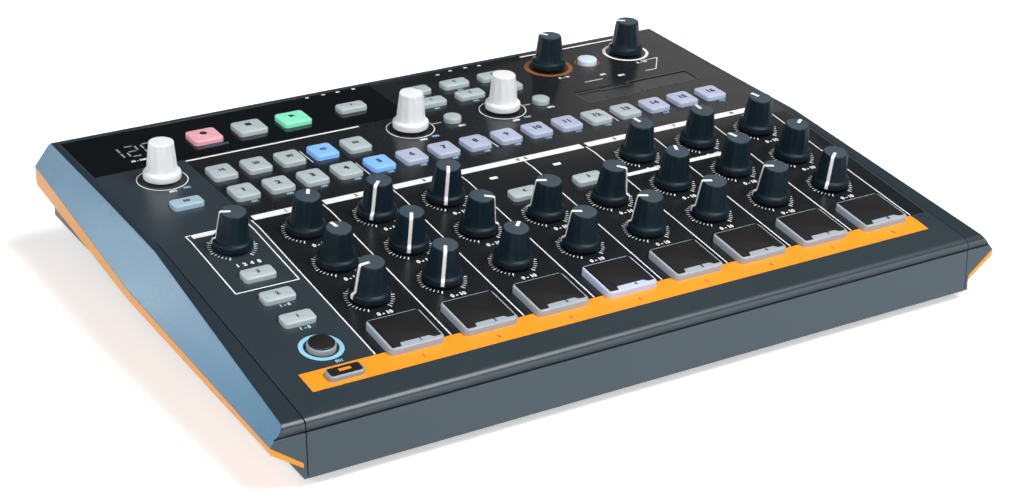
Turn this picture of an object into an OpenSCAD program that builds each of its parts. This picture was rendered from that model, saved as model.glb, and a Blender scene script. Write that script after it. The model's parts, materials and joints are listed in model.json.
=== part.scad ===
// Tabletop analogue drum machine: bent control panel, faceted side cheeks, dials, keys and pads.
// X runs to the right, Y to the back, Z up. Millimetres. The origin lies on the table, under the
// middle of the machine. On the front panel and on the rear panel a place is given as u (to the
// right), v (towards the back, along the panel) and w (out of the panel).

/* [Case] */
// Width of the centre case between the two side cheeks
case_w = 287.6; // [262:0.2:314]
// Width of a side cheek at its widest
cheek_w = 14.2; // [12.6:0.1:17]
// Height of the rear panel above the seat of the bottom pan
case_h = 30.3; // [29:0.1:38]
// Wall thickness of the case
wall = 2.4; // [1.8:0.1:3]
// Slope of the front panel against the rear panel, in degrees
panel_slope = 5.5; // [4:0.5:7]
// Lean of the whole machine on its feet, in degrees
stand_tilt = 2; // [0:0.5:3]
// Clear height under the front edge of the case
front_clear = 5.6; // [4.8:0.2:8]
// Height of the rubber feet
foot_h = 3; // [2:0.2:3.4]
// Distance from the front rim back to the pad strip
strip_setback = 26; // [24:0.5:30]
// Length of the front panel, from the pad strip back to the bend
front_len = 91; // [84:1:100]
// Length of the rear panel, from the bend to the rear wall
rear_len = 107.3; // [98:0.1:118]
// Wall thickness of the bottom pan
base_t = 2.2; // [1.8:0.1:2.6]
// Radius of the rounded roll along the front edge
roll_r = 3.1; // [2.6:0.1:3.6]
// Height of the groove between the roll and the front face
groove_h = 0.4; // [0.3:0.1:0.8]
// How far the front face leans back over its height
face_lean = 1.4; // [0.6:0.1:2]

/* [Side cheeks] */
// Width of the cheek's flat top at the front
edge_front = 8; // [6:0.5:10]
// Width of the cheek's flat top at the bend
edge_bend = 3.2; // [2.4:0.2:6]
// Width of the cheek's flat top at the rear
edge_rear = 1.9; // [1.5:0.1:4]
// Height of the widest edge at the front
waist_front = 12.7; // [11:0.1:13]
// Height of the widest edge at the bend
waist_bend = 16.9; // [14:0.1:20]
// Height of the widest edge at the rear
waist_rear = 21.5; // [18:0.1:24]
// How far the widest edge draws in at the front
draw_front = 0.8; // [0:0.2:3]
// How far the widest edge draws in at the rear
draw_rear = 5.7; // [3:0.1:7]
// Width of the rib that carries the cheek at its foot
rib_w = 1.6; // [1.2:0.1:2.4]
// Height of the trim's lip at the front
lip_front = 2.6; // [1.6:0.2:4]
// Height of the trim's lip at the bend
lip_bend = 4.4; // [3:0.2:6]
// Height of the trim's lip at the rear
lip_rear = 8.2; // [5:0.2:9]

/* [Control grid] */
// Number of voice columns
voices = 8; // [8:8]
// Distance from the seam of a cheek to the outermost column
column_margin = 23.8; // [22:0.1:26]
// Distance from the pad strip to the front row of dials
row_first = 32.7; // [32:0.1:36]
// Distance from the back row of dials to the bend
row_margin = 8.3; // [8:0.1:10]
// Number of step keys
steps = 16; // [16:16]
// Distance from the left seam to the first step key
step_left = 46.1; // [45:0.1:50]
// Distance from the right seam to the last step key
step_right = 20.25; // [18:0.05:23]
// Distance from the bend to the row of step keys
step_row = 29; // [26:0.5:31]
// Distance from the bend to the row of mode keys
mode_row = 49; // [45:0.5:50]
// Number of mode keys
modes = 5; // [5:5]
// Distance from the bend to the encoders
encoder_row = 55; // [50:0.5:57]
// Distance from the rear wall to the rear dials
dial_setback = 20.7; // [19.5:0.1:22.5]
// Distance from the rear wall to the transport keys
transport_setback = 23.8; // [22:0.1:25]

/* [Dials] */
// Radius of a dial's skirt
skirt_r = 7.6; // [7:0.1:8.4]
// Radius of a dial's grip at its foot
grip_r = 6.2; // [5.6:0.1:6.6]
// Radius of a dial's top
dial_top_r = 4.95; // [4.4:0.05:5.4]
// Height of a dial's top above the panel
dial_top = 15.1; // [13:0.1:18]
// Height of an encoder cap's top above the panel
cap_top = 16.2; // [14:0.1:19]
// Gap between a dial's skirt and the panel
dial_gap = 1; // [0.6:0.1:2.4]
// Radius of a dial's shaft
shaft_r = 3; // [2.5:0.1:3.2]
// Radial clearance round a shaft
shaft_gap = 0.4; // [0.3:0.05:0.6]
// Width of a dial's pointer line
pointer_w = 1.1; // [0.8:0.1:1.6]

/* [Keys and pads] */
// Height of a key above the panel
key_rise = 2; // [1.6:0.1:2.6]
// Travel of a key
key_travel = 1.2; // [0.8:0.1:1.4]
// Gap between a key and its window
key_gap = 0.35; // [0.3:0.05:0.5]
// Corner radius of a key
key_r = 1.6; // [1:0.1:2]
// Width and depth of a step or mode key
step_key = [10.2, 11.4]; // [9:0.1:12]
// Width and depth of a transport key
transport_key = [12.6, 11.4]; // [11:0.1:14]
// Width and depth of a wide function key
wide_key = [12.6, 6.8]; // [5:0.1:13.4]
// Width and depth of a pad
pad_size = [21.6, 20]; // [19:0.1:23]
// Corner radius of a pad
pad_r = 2; // [1.4:0.1:3]
// Height of a pad above the panel
pad_rise = 2.6; // [2:0.1:3.4]
// Distance from the pad strip edge to the middle of the pads
pad_row = 6.7; // [6:0.1:8]
// Width of the flange under a key
flange = 0.8; // [0.6:0.1:1]

/* [Inside] */
// Depth of the circuit boards below the panel
board_drop = 13; // [12:0.5:14]
// Thickness of a circuit board
board_t = 1.6; // [1.2:0.1:2]
// Radius of a board post
post_r = 2.8; // [2.2:0.1:3]
// Depth of a rear connector
jack_depth = 9; // [8:0.5:10]
// Height of the connector row above the rim
jack_z = 14.5; // [13:0.5:15.5]

/* [Hidden] */
$fn = 48;

case_grey = "#343c45";
cheek_grey = "#3f4a57";
trim_orange = "#f79a1e";
key_grey = "#bcc5c5";
dial_black = "#1f2a31";
board_green = "#24563c";
metal = "#a9adb0";
black = "#16181a";

// Overall width and depth
body_w = case_w + 2 * cheek_w;
body_d = strip_setback + front_len * cos(panel_slope) + rear_len;

// Panel frames
strip_z = case_h - front_len * sin(panel_slope);
bend_y = strip_setback + front_len * cos(panel_slope);
roll_gap = 0.1;
roll_turn = 20;
roll_steps = 10;
roll_y = face_lean + roll_gap + roll_r;
panel_front_z = strip_z - (strip_setback - roll_y) * tan(panel_slope);
roll_z = panel_front_z - roll_r / cos(panel_slope);
roll_foot = [roll_y - roll_r * cos(roll_turn), roll_z - roll_r * sin(roll_turn)];
groove_depth = 0.4;
face_top = [face_lean, roll_foot[1] - groove_h];
rear_chamfer = 0.9;
seam_x = case_w / 2;
seam_groove = 0.35;
seam_depth = 0.6;
inner_front = roll_y + wall;
inner_x = seam_x - wall;

// Places across and along the panels. A shift is counted from the nearest voice column, and a
// rise from the row that a control belongs to.
swing_shift = -10;
random_shift = 4.4;
distortion_shift = -12.5;
volume_shift = -1.3;
left_u = column_margin - seam_x;
pitch = -2 * left_u / voices;
function column_u(k) = left_u + (k + 1) * pitch;
row_step = (front_len - row_first - row_margin) / 2;
function row_v(row) = row_first + row * row_step;
step_pitch = (case_w - step_left - step_right) / (steps - 1);
function step_u(k) = step_left - seam_x + k * step_pitch;
rear_dial_row = rear_len - dial_setback;
transport_row = rear_len - transport_setback;
swing_u = column_u(3) + swing_shift;
random_u = column_u(4) + random_shift;
distortion_u = column_u(6) + distortion_shift;
volume_u = column_u(7) + volume_shift;

// Pointer of each dial at rest, in degrees clockwise from the back: front, middle, back row
dial_turn = 150;
voice_rest = [[-95, -12, 30], [-150, -150, -135], [45, 125, -150], [-65, -68], [-65, 140],
    [-68, 20, -10], [-65, -20, 0], [-128, 55, -20]];
metronome_rest = -70;
distortion_rest = -35;
volume_rest = -55;

// Function keys: [u, v] of each one
beat_drop = 3;
mute_step = 15.75;
pair_rise = 15.8;
wide_front_keys = concat([for (i = [0:2]) [left_u, row_first - beat_drop + i * mute_step]],
    [for (k = [3, 4]) [column_u(k), row_v(1) + pair_rise]]);
shift_key = [left_u, 11.5];
shift_r = 5.3;
shift_rise = key_rise + 0.5;
colour_key = [left_u, -5.8];
colour_size = [13.6, 6];
transport_shift = 0.7;
transport_step = 19.95;
transport_u = [for (i = [0:2]) column_u(0) + transport_shift + i * transport_step];
save_shift = 7.7;
save_u = column_u(2) + save_shift;
bank_shift = 10.6;
bank_step = 18.95;
bank_rise = [-9.7, 3.5];
bank_u = [for (i = [0:2]) column_u(3) + bank_shift + i * bank_step];
bank_v = [for (rise = bank_rise) transport_row + rise];
wide_rise = [0.8, 0.4];
wide_rear_keys = concat([[left_u - 1, step_row + wide_rise[0]],
    [save_u, transport_row + wide_rise[1]]], [for (u = bank_u) for (v = bank_v) [u, v]]);
round_reach = [19.9, 19];
round_keys = [[swing_u + round_reach[0], encoder_row], [random_u + round_reach[1], encoder_row]];
round_r = 3.8;
lamp_shift = 6.2;
lamp_drop = 2.6;
lamp_key = [column_u(6) + lamp_shift, rear_dial_row - lamp_drop];
lamp_r = 4.4;

// Key construction
flange_top = -(wall + 0.3);
flange_t = 1.5;
key_low = flange_top - flange_t;
dome_top = key_low - key_travel - 0.7;
dome_r = 2.6;
mat_t = 1.2;

// Display lens, segment module and touch strip, on the rear panel
lens_edge = [1.2, 3.4, 15.5, 3.6];
lens_u = [lens_edge[0] - seam_x, column_u(3) - lens_edge[1]];
lens_v = [transport_row - lens_edge[2], rear_len - lens_edge[3]];
lens_t = 0.8;
module_size = [26, 12];
module_at = [left_u + 0.5, transport_row + 0.5];
touch_edge = [12, 13.4, 9.6, 2.4];
touch_u = [column_u(5) + touch_edge[0], seam_x - touch_edge[1]];
touch_v = [encoder_row - touch_edge[2], encoder_row + touch_edge[3]];
touch_t = 0.8;
touch_sunk = 0.3;

// Rotary controls under the dials
pot_size = [11, 12];
pot_h = 6.6;
collar_r = 4.4;
collar_top = -(wall + 0.6);
bore_low = -10;
shaft_low = -9.4;

// Boards, posts and screws
board_edge = 6;
board_gap = 1;
front_board_v = [inner_front + board_gap - strip_setback, front_len - 2 * board_gap];
rear_board_v = [3 * board_gap, rear_len - wall - jack_depth - 3 * board_gap];
post_u = inner_x - board_edge - post_r - board_gap;
post_edge = 7;
post_front = 24;
middle_u = column_u(3) + pitch / 2;
front_posts = [for (u = [-post_u, middle_u, post_u]) for (v = [post_front, front_len - post_edge])
    [u, v]];
rear_posts = concat([for (u = [-post_u, middle_u, post_u]) [u, post_edge + 1]],
    [for (u = [-post_u, column_u(2) - 5, column_u(5) + 4, post_u]) [u, mode_row + 2 * post_edge]]);
screw_x = inner_x - 2.2;
screw_y = [14, bend_y - 4, body_d - 14];
boss_r = 3;
screw_bore = 1.3;
screw_r = 1.1;
head_r = 2.6;
head_t = 1.3;
screw_len = 9;
foot_r = 7;
foot_side = 16;
foot_inset = 24;
rim_edge = 1.5;
rim_gap = 0.2;
rim_lip = rim_edge - rim_gap;
rim_drop = base_t - 0.3;
pan_x = screw_x - head_r - 2.6;
foot_x = pan_x - foot_side;
pan_y = [8, body_d - 7];
function pan_floor(y) = (foot_h - front_clear - y * sin(stand_tilt)) / cos(stand_tilt);

// Rear connectors, in a row with equal gaps across the rear wall
jack_y = body_d - wall;
midi_r = 6.8;
midi_body = 17;
small_jack_r = 1.85;
small_body = 9;
big_jack_r = 3.3;
big_body = 15;
usb_hole = [8.5, 7.8];
usb_body = [12, 11];
dc_r = 3.1;
dc_body = 10;
switch_hole = [13, 8];
row_w = concat([big_body, big_body], [for (i = [1:7]) small_body],
    [midi_body, midi_body, usb_body[0], dc_body, switch_hole[0]]);
row_left = 29.9;
row_right = 9.9;
function sum_to(i) = i < 0 ? 0 : row_w[i] + sum_to(i - 1);
jack_gap = (2 * inner_x - row_left - row_right - sum_to(len(row_w) - 1)) / (len(row_w) - 1);
function jack_x(i) = row_left - inner_x + sum_to(i - 1) + row_w[i] / 2 + i * jack_gap;
big_jack_x = [for (i = [0, 1]) jack_x(i)];
small_jack_x = [for (i = [2:8]) jack_x(i)];
midi_x = [jack_x(9), jack_x(10)];
usb_x = jack_x(11);
dc_x = jack_x(12);
switch_x = jack_x(13);
switch_frame = 1.2;
rocker_gap = 0.4;
rocker_swing = 8;
rocker_r = 4.6;
rocker_axis_y = body_d - rocker_r - 0.2;
jack_cut = 0.3;

// Frames
module on_stand() {
    translate([0, -body_d * cos(stand_tilt) / 2 - rim_drop * sin(stand_tilt), front_clear])
        rotate([stand_tilt, 0, 0]) children();
}
module on_front(u, v, w = 0) {
    on_stand() translate([0, strip_setback, strip_z]) rotate([panel_slope, 0, 0])
        translate([u, v, w]) children();
}
module on_rear(u, v, w = 0) {
    on_stand() translate([u, bend_y + v, case_h + w]) children();
}
module across(x0, x1) {
    translate([x0, 0, 0]) rotate([90, 0, 90]) linear_extrude(x1 - x0) children();
}

// Outlines
function corner(x, y, r, a0) = [for (i = [0:4]) [x + r * cos(a0 + i * 22.5), y + r * sin(a0 + i * 22.5)]];
module rounded(size, r) {
    x = size[0] / 2 - r;
    y = size[1] / 2 - r;
    polygon(concat(corner(x, y, r, 0), corner(-x, y, r, 90), corner(-x, -y, r, 180),
        corner(x, -y, r, 270)));
}
module window(u, v, size, r) {
    translate([u, v]) rounded([size[0] + 2 * key_gap, size[1] + 2 * key_gap], r + key_gap);
}

// Side outline of the case, seen along X: front face, groove, roll, bent panel, rear wall. The
// roll goes from its foot, under its middle, up to where it meets the front panel.
function roll_point(a) = [roll_y + roll_r * cos(a), roll_z + roll_r * sin(a)];
roll_low = 180 + roll_turn;
roll_high = 90 + panel_slope;
module case_outline() {
    polygon(concat([[0, -rim_drop], face_top, [roll_foot[0] + groove_depth, face_top[1]],
        roll_foot + [groove_depth, 0]],
        [for (i = [0:roll_steps]) roll_point(roll_low + (roll_high - roll_low) * i / roll_steps)],
        [[bend_y, case_h], [body_d - rear_chamfer, case_h], [body_d, case_h - rear_chamfer],
        [body_d, -rim_drop]]));
}
module case_solid(x0, x1) {
    across(x0, x1) case_outline();
}
// The seat of the bottom pan, inside the lip of the case
module pan_seat() {
    on_stand() translate([-seam_x + rim_lip, rim_lip, -rim_drop - 1])
        cube([case_w - 2 * rim_lip, body_d - 2 * rim_lip, rim_drop + 1]);
}
module case_hollow() {
    drop = wall / cos(panel_slope);
    polygon([[inner_front, -1], [inner_front, strip_z - (strip_setback - inner_front)
        * tan(panel_slope) - drop], [bend_y, case_h - drop], [body_d - wall, case_h - wall],
        [body_d - wall, -1]]);
}

// Windows and holes of the front panel
module front_windows() {
    for (k = [0:voices - 1]) window(column_u(k), pad_row, pad_size, pad_r);
    for (p = wide_front_keys) window(p[0], p[1], wide_key, key_r);
    window(colour_key[0], colour_key[1], colour_size, key_r);
    translate(shift_key) circle(shift_r + key_gap);
    translate([left_u, row_v(2)]) circle(shaft_r + shaft_gap);
    for (k = [0:voices - 1]) for (row = [0:len(voice_rest[k]) - 1])
        translate([column_u(k), row_v(row)]) circle(shaft_r + shaft_gap);
}
// Windows and holes of the rear panel
module rear_windows() {
    for (k = [0:steps - 1]) window(step_u(k), step_row, step_key, key_r);
    for (k = [0:modes - 1]) window(step_u(k), mode_row, step_key, key_r);
    transport_windows();
    for (p = wide_rear_keys) window(p[0], p[1], wide_key, key_r);
    for (p = round_keys) translate(p) circle(round_r + key_gap);
    translate(lamp_key) circle(lamp_r + key_gap);
    translate([left_u, encoder_row]) circle(shaft_r + shaft_gap);
    translate([swing_u, encoder_row]) circle(shaft_r + shaft_gap);
    translate([random_u, encoder_row]) circle(shaft_r + shaft_gap);
    translate([distortion_u, rear_dial_row]) circle(shaft_r + shaft_gap);
    translate([volume_u, rear_dial_row]) circle(shaft_r + shaft_gap);
    translate(module_at) square(module_size, center = true);
}
module transport_windows() {
    for (u = transport_u) window(u, transport_row, transport_key, key_r);
}
module span_box(us, vs) {
    translate([us[0], vs[0]]) square([us[1] - us[0], vs[1] - vs[0]]);
}

// Holes of the rear wall, drawn in X and Z
module rear_wall_holes() {
    for (x = midi_x) translate([x, jack_z]) circle(midi_r);
    for (x = small_jack_x) translate([x, jack_z]) circle(small_jack_r + 0.9);
    for (x = big_jack_x) translate([x, jack_z]) circle(big_jack_r + 1.2);
    translate([usb_x, jack_z]) square(usb_hole, center = true);
    translate([dc_x, jack_z]) circle(dc_r + 1);
    translate([switch_x, jack_z]) square([switch_hole[0] + 2 * jack_cut, switch_hole[1]
        + 2 * jack_cut], center = true);
}

module top_case() {
    color(case_grey) difference() {
        union() {
            on_stand() difference() {
                case_solid(-seam_x, seam_x);
                across(-inner_x, inner_x) case_hollow();
            }
            for (x = [-screw_x, screw_x]) for (y = screw_y) on_stand() translate([x, y, 0])
                cylinder(r = boss_r, h = panel_underside(y) + wall / 2);
            for (p = front_posts) on_front(p[0], p[1], -board_drop)
                cylinder(r = post_r, h = board_drop - wall / 2);
            for (p = rear_posts) on_rear(p[0], p[1], -board_drop)
                cylinder(r = post_r, h = board_drop - wall / 2);
        }
        pan_seat();
        on_front(0, 0, -2 * wall) linear_extrude(4 * wall) front_windows();
        on_rear(0, 0, -2 * wall) linear_extrude(4 * wall) rear_windows();
        on_rear(0, 0, -lens_t) linear_extrude(2) span_box(lens_u, lens_v);
        on_rear(0, 0, -touch_t) linear_extrude(2) span_box(touch_u, touch_v);
        on_stand() translate([0, body_d + 1, 0]) rotate([90, 0, 0]) linear_extrude(wall + 2)
            rear_wall_holes();
        for (x = [-screw_x, screw_x]) for (y = screw_y) on_stand() translate([x, y, -1])
            cylinder(r = screw_bore, h = screw_len + 1);
    }
}
function panel_underside(y) = y < bend_y
    ? strip_z - (strip_setback - y) * tan(panel_slope) - wall / cos(panel_slope) : case_h - wall;

// The bottom is a flange that closes the case, with a wedge-shaped pan that stands level
module pan_profile(in, above) {
    polygon([[pan_y[0] + in, above], [pan_y[0] + in, pan_floor(pan_y[0] + in) + in],
        [pan_y[1] - in, pan_floor(pan_y[1] - in) + in], [pan_y[1] - in, above]]);
}
module bottom_case() {
    color(black) on_stand() difference() {
        union() {
            translate([-seam_x + rim_edge, rim_edge, -base_t])
                cube([case_w - 2 * rim_edge, body_d - 2 * rim_edge, base_t]);
            across(-pan_x, pan_x) pan_profile(0, -base_t / 2);
        }
        across(-pan_x + base_t, pan_x - base_t) pan_profile(base_t, 1);
        for (x = [-screw_x, screw_x]) for (y = screw_y) translate([x, y, -base_t - 1]) {
            cylinder(r = screw_r + 0.3, h = base_t + 2);
            cylinder(r = head_r + 0.3, h = head_t + 1);
        }
    }
}

// A side cheek is a loft through three sections: front, bend and rear
loft_front = -2;
loft_rear = body_d + 2;
loft_above = 0.5;
loft_inside = 12;
loft_below = rim_drop + 1;
rib_x = seam_x + rib_w;
seat_front = 4.1;
seat_bend = 7.1;
seat_rear = 10.1;
trim_root = [1.8, 3, 4];
stations = [loft_front, bend_y, loft_rear];
waist_x = [body_w / 2 - draw_front, body_w / 2, body_w / 2 - draw_rear];
waist_z = [waist_front, waist_bend, waist_rear];
edge_x = [seam_x + edge_front, seam_x + edge_bend, seam_x + edge_rear];
edge_z = [panel_front_z, case_h, case_h];
seat_z = [seat_front, seat_bend, seat_rear];
lip_h = [lip_front, lip_bend, lip_rear];

function cheek_section(i) = [[seam_x - loft_inside, -loft_below], [rib_x, -loft_below],
    [rib_x, seat_z[i]],
    [waist_x[i], waist_z[i]],
    [edge_x[i] - (waist_x[i] - edge_x[i]) * loft_above, edge_z[i] + (edge_z[i] - waist_z[i])
        * loft_above],
    [seam_x - loft_inside, edge_z[i] + (edge_z[i] - waist_z[i]) * loft_above]];
function trim_section(i) = [[rib_x, seat_z[i]], [rib_x, seat_z[i] - trim_root[i]],
    [waist_x[i] - 0.2, waist_z[i] - lip_h[i]], [waist_x[i], waist_z[i]]];

// Solid through sections of the same number of points, one at each station along Y.
// Two lofts that share a face, one on each side of it, split it along the same diagonal.
module loft(sections, other_side = false) {
    n = len(sections[0]);
    points = [for (i = [0:len(sections) - 1]) for (p = sections[i]) [p[0], stations[i], p[1]]];
    sides = [for (i = [0:len(sections) - 2]) for (j = [0:n - 1]) for (half = [0, 1])
        let (a = i * n + j, b = i * n + (j + 1) % n)
        half == 0 ? [a, b, other_side ? b + n : a + n] : [other_side ? a : b, b + n, a + n]];
    front = [[for (j = [n - 1:-1:0]) j]];
    back = [[for (j = [0:n - 1]) (len(sections) - 1) * n + j]];
    polyhedron(points, concat(sides, front, back));
}

// The groove of the seam runs over the front face and the front panel only
module seam_line() {
    across(seam_x - 1, seam_x + seam_groove) intersection() {
        difference() {
            translate([-seam_depth, seam_depth]) case_outline();
            translate([seam_depth, -seam_depth]) case_outline();
        }
        translate([-1, 1 - rim_drop]) square([bend_y + 7, case_h + rim_drop + 2]);
    }
}
module cheek_body() {
    on_stand() difference() {
        intersection() {
            loft([for (i = [0:2]) cheek_section(i)]);
            case_solid(seam_x, body_w);
        }
        seam_line();
    }
}
module trim_body() {
    on_stand() intersection() {
        loft([for (i = [0:2]) trim_section(i)], other_side = true);
        case_solid(seam_x, body_w);
    }
}
module right_cheek() { color(cheek_grey) cheek_body(); }
module left_cheek() { color(cheek_grey) mirror([1, 0, 0]) cheek_body(); }
module side_trims() {
    color(trim_orange) {
        trim_body();
        mirror([1, 0, 0]) trim_body();
    }
}

// Circuit boards, seated on the posts of the case
module front_board() {
    color(board_green) on_front(0, 0, -board_drop - board_t) linear_extrude(board_t)
        span_box([-inner_x + board_edge, inner_x - board_edge], front_board_v);
}
module rear_board() {
    color(board_green) on_rear(0, 0, -board_drop - board_t) linear_extrude(board_t)
        span_box([-inner_x + board_edge, inner_x - board_edge], rear_board_v);
}
// Upright board behind the rear connectors, and the ribbon cable from it to the rear board
module jack_board() {
    ribbon_x = -40;
    ribbon_w = 24;
    ribbon_t = 0.6;
    ribbon_reach = 20;
    ribbon_low = 4.4;
    low = 0.4;
    high = case_h - board_drop - board_t - 1;
    front = jack_y - jack_depth - board_t;
    left = jack_x(0) - big_body / 2 - jack_gap;
    right = switch_x + switch_hole[0] / 2;
    color(board_green) on_stand() {
        translate([left, front, low]) cube([right - left, board_t, high - low]);
        across(ribbon_x, ribbon_x + ribbon_w) polygon([[front, ribbon_low],
            [front, ribbon_low + ribbon_t], [front - ribbon_reach + ribbon_t, ribbon_low + ribbon_t],
            [front - ribbon_reach + ribbon_t, high + 1], [front - ribbon_reach, high + 1],
            [front - ribbon_reach, ribbon_low]]);
    }
}

// One rotary control: square body on the board, collar under the panel, bore for the shaft
module pot() {
    difference() {
        union() {
            translate([-pot_size[0] / 2, -pot_size[1] / 2, -board_drop])
                cube([pot_size[0], pot_size[1], pot_h]);
            translate([0, 0, -board_drop]) cylinder(r = collar_r, h = board_drop + collar_top);
        }
        translate([0, 0, bore_low]) cylinder(r = shaft_r + shaft_gap, h = -bore_low + 1);
    }
}
module rotary_controls() {
    color(metal) {
        on_front(left_u, row_v(2)) pot();
        for (k = [0:voices - 1]) for (row = [0:len(voice_rest[k]) - 1])
            on_front(column_u(k), row_v(row)) pot();
        for (u = [left_u, swing_u, random_u]) on_rear(u, encoder_row) pot();
        for (u = [distortion_u, volume_u]) on_rear(u, rear_dial_row) pot();
    }
}

// Silicone key mats on the boards, with a dome under each key and pad
module dome() { cylinder(r = dome_r, h = board_drop + dome_top); }
module mat(us, vs) { linear_extrude(mat_t) span_box(us, vs); }
module key_mats() {
    pad_half = pad_size[1] / 2 - 1;
    step_half = step_key[1] / 2;
    color("#d8dadb") {
        on_front(0, 0, -board_drop) {
            union() {
                mat([column_u(0) - 10, column_u(voices - 1) + 10],
                    [pad_row - pad_half, pad_row + pad_half]);
                for (k = [0:voices - 1]) translate([column_u(k), pad_row]) dome();
            }
            union() {
                mat([left_u - 5, left_u + 5], [colour_key[1] - 3, wide_front_keys[2][1] + 3]);
                for (p = concat([colour_key, shift_key], [for (i = [0:2]) wide_front_keys[i]]))
                    translate(p) dome();
            }
            union() {
                mat([column_u(3) - 5, column_u(4) + 5],
                    [wide_front_keys[3][1] - 3, wide_front_keys[3][1] + 3]);
                for (i = [3, 4]) translate(wide_front_keys[i]) dome();
            }
        }
        on_rear(0, 0, -board_drop) {
            union() {
                mat([step_u(0) - 5, step_u(steps - 1) + 5],
                    [step_row - step_half, step_row + step_half]);
                for (k = [0:steps - 1]) translate([step_u(k), step_row]) dome();
            }
            union() {
                mat([step_u(0) - 5, step_u(modes - 1) + 5],
                    [mode_row - step_half, mode_row + step_half]);
                for (k = [0:modes - 1]) translate([step_u(k), mode_row]) dome();
            }
            union() {
                mat([transport_u[0] - 5, save_u + 5],
                    [transport_row - step_half, transport_row + step_half]);
                for (u = transport_u) translate([u, transport_row]) dome();
                translate(wide_rear_keys[1]) dome();
            }
            union() {
                mat([bank_u[0] - 5, bank_u[2] + 5], [bank_v[0] - 3, bank_v[1] + 3]);
                for (u = bank_u) for (v = bank_v) translate([u, v]) dome();
            }
            for (p = concat([wide_rear_keys[0], lamp_key], round_keys)) translate(p) dome();
        }
    }
}

// Feet under the corners of the pan
module rubber_feet() {
    foot_y = (body_d - 2 * foot_inset) / 2;
    color("#101112") for (x = [-foot_x, foot_x]) for (y = [-foot_y, foot_y]) translate([x, y, 0])
        cylinder(r = foot_r, h = foot_h);
}
module case_screws() {
    color(metal) on_stand() for (x = [-screw_x, screw_x]) for (y = screw_y)
        translate([x, y, -base_t]) difference() {
            union() {
                cylinder(r = head_r, h = head_t);
                cylinder(r = screw_r, h = screw_len + base_t - 1);
            }
            translate([0, 0, -1]) cylinder(r = 1.1, h = 1.7, $fn = 6);
        }
}

// Smoked lens let into the rear panel, with the segment module under it
module display() {
    color(black) {
        on_rear(0, 0, -lens_t) linear_extrude(lens_t) difference() {
            span_box(lens_u, lens_v);
            transport_windows();
            window(wide_rear_keys[1][0], wide_rear_keys[1][1], wide_key, key_r);
        }
        on_rear(module_at[0], module_at[1], -board_drop)
            translate([-module_size[0] / 2 + 0.3, -module_size[1] / 2 + 0.3, 0])
                cube([module_size[0] - 0.6, module_size[1] - 0.6, board_drop - lens_t / 2]);
    }
}
module touch_strip() {
    color("#2b3036") on_rear(0, 0, -touch_t) linear_extrude(touch_t - touch_sunk)
        span_box(touch_u, touch_v);
}

// Rear connectors; each body stands between the jack board and the rear wall
module jack_box(x, w, h) {
    translate([x - w / 2, jack_y - jack_depth, jack_z - h / 2]) cube([w, jack_depth, h]);
}
module jack_hole(x, r, depth) {
    translate([x, jack_y + 1, jack_z]) rotate([90, 0, 0]) cylinder(r = r, h = depth + 1);
}
module midi_sockets() {
    color(black) on_stand() for (x = midi_x) {
        difference() {
            jack_box(x, midi_body, midi_body);
            jack_hole(x, midi_r, jack_depth - 2);
        }
        for (a = [-90, -45, 0, 45, 90])
            translate([x + 4.8 * sin(a), jack_y - jack_depth + 2, jack_z - 4.8 * cos(a) * 0.6])
                rotate([-90, 0, 0]) cylinder(r = 0.7, h = 1);
    }
}
module audio_jacks() {
    color(black) on_stand() {
        for (x = small_jack_x) difference() {
            jack_box(x, small_body, small_body);
            jack_hole(x, small_jack_r, jack_depth - 1);
        }
        for (x = big_jack_x) difference() {
            jack_box(x, big_body, big_body);
            jack_hole(x, big_jack_r, jack_depth - 1);
        }
    }
}
module usb_socket() {
    tongue = [5.6, 2.2];
    color(metal) on_stand() difference() {
        jack_box(usb_x, usb_body[0], usb_body[1]);
        difference() {
            translate([usb_x - usb_hole[0] / 2, jack_y - jack_depth + 2, jack_z - usb_hole[1] / 2])
                cube([usb_hole[0], jack_depth, usb_hole[1]]);
            translate([usb_x - tongue[0] / 2, jack_y - jack_depth, jack_z + usb_hole[1] / 2 - 0.6
                - tongue[1]]) cube([tongue[0], jack_depth - 2, tongue[1]]);
        }
    }
}
// Power socket with its centre pin, and the frame that carries the power rocker
module power_inlet() {
    color(black) on_stand() {
        difference() {
            jack_box(dc_x, dc_body, dc_body);
            jack_hole(dc_x, dc_r, jack_depth - 2);
        }
        translate([dc_x, jack_y - jack_depth + 2, jack_z]) rotate([-90, 0, 0])
            cylinder(r = 1.05, h = jack_depth - 3);
        difference() {
            translate([switch_x - switch_hole[0] / 2, jack_y - jack_depth, jack_z
                - switch_hole[1] / 2]) cube([switch_hole[0], jack_depth + wall, switch_hole[1]]);
            translate([switch_x - switch_hole[0] / 2 + switch_frame, rocker_axis_y - rocker_r
                - rocker_gap, jack_z - switch_hole[1] / 2 + switch_frame])
                cube([switch_hole[0] - 2 * switch_frame, 20, switch_hole[1] - 2 * switch_frame]);
        }
    }
}
module power_rocker() {
    half = switch_hole[0] / 2 - switch_frame - rocker_gap;
    w = switch_hole[1] - 2 * (switch_frame + rocker_gap);
    shoulder = 4;
    color("#23262a") on_stand() translate([switch_x, rocker_axis_y, jack_z - w / 2])
        rotate([0, 0, -rocker_swing]) linear_extrude(w) intersection() {
            circle(rocker_r);
            polygon([[-half, -0.6], [half, -0.6], [half, shoulder], [0, rocker_r], [-half, shoulder]]);
        }
}

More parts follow.
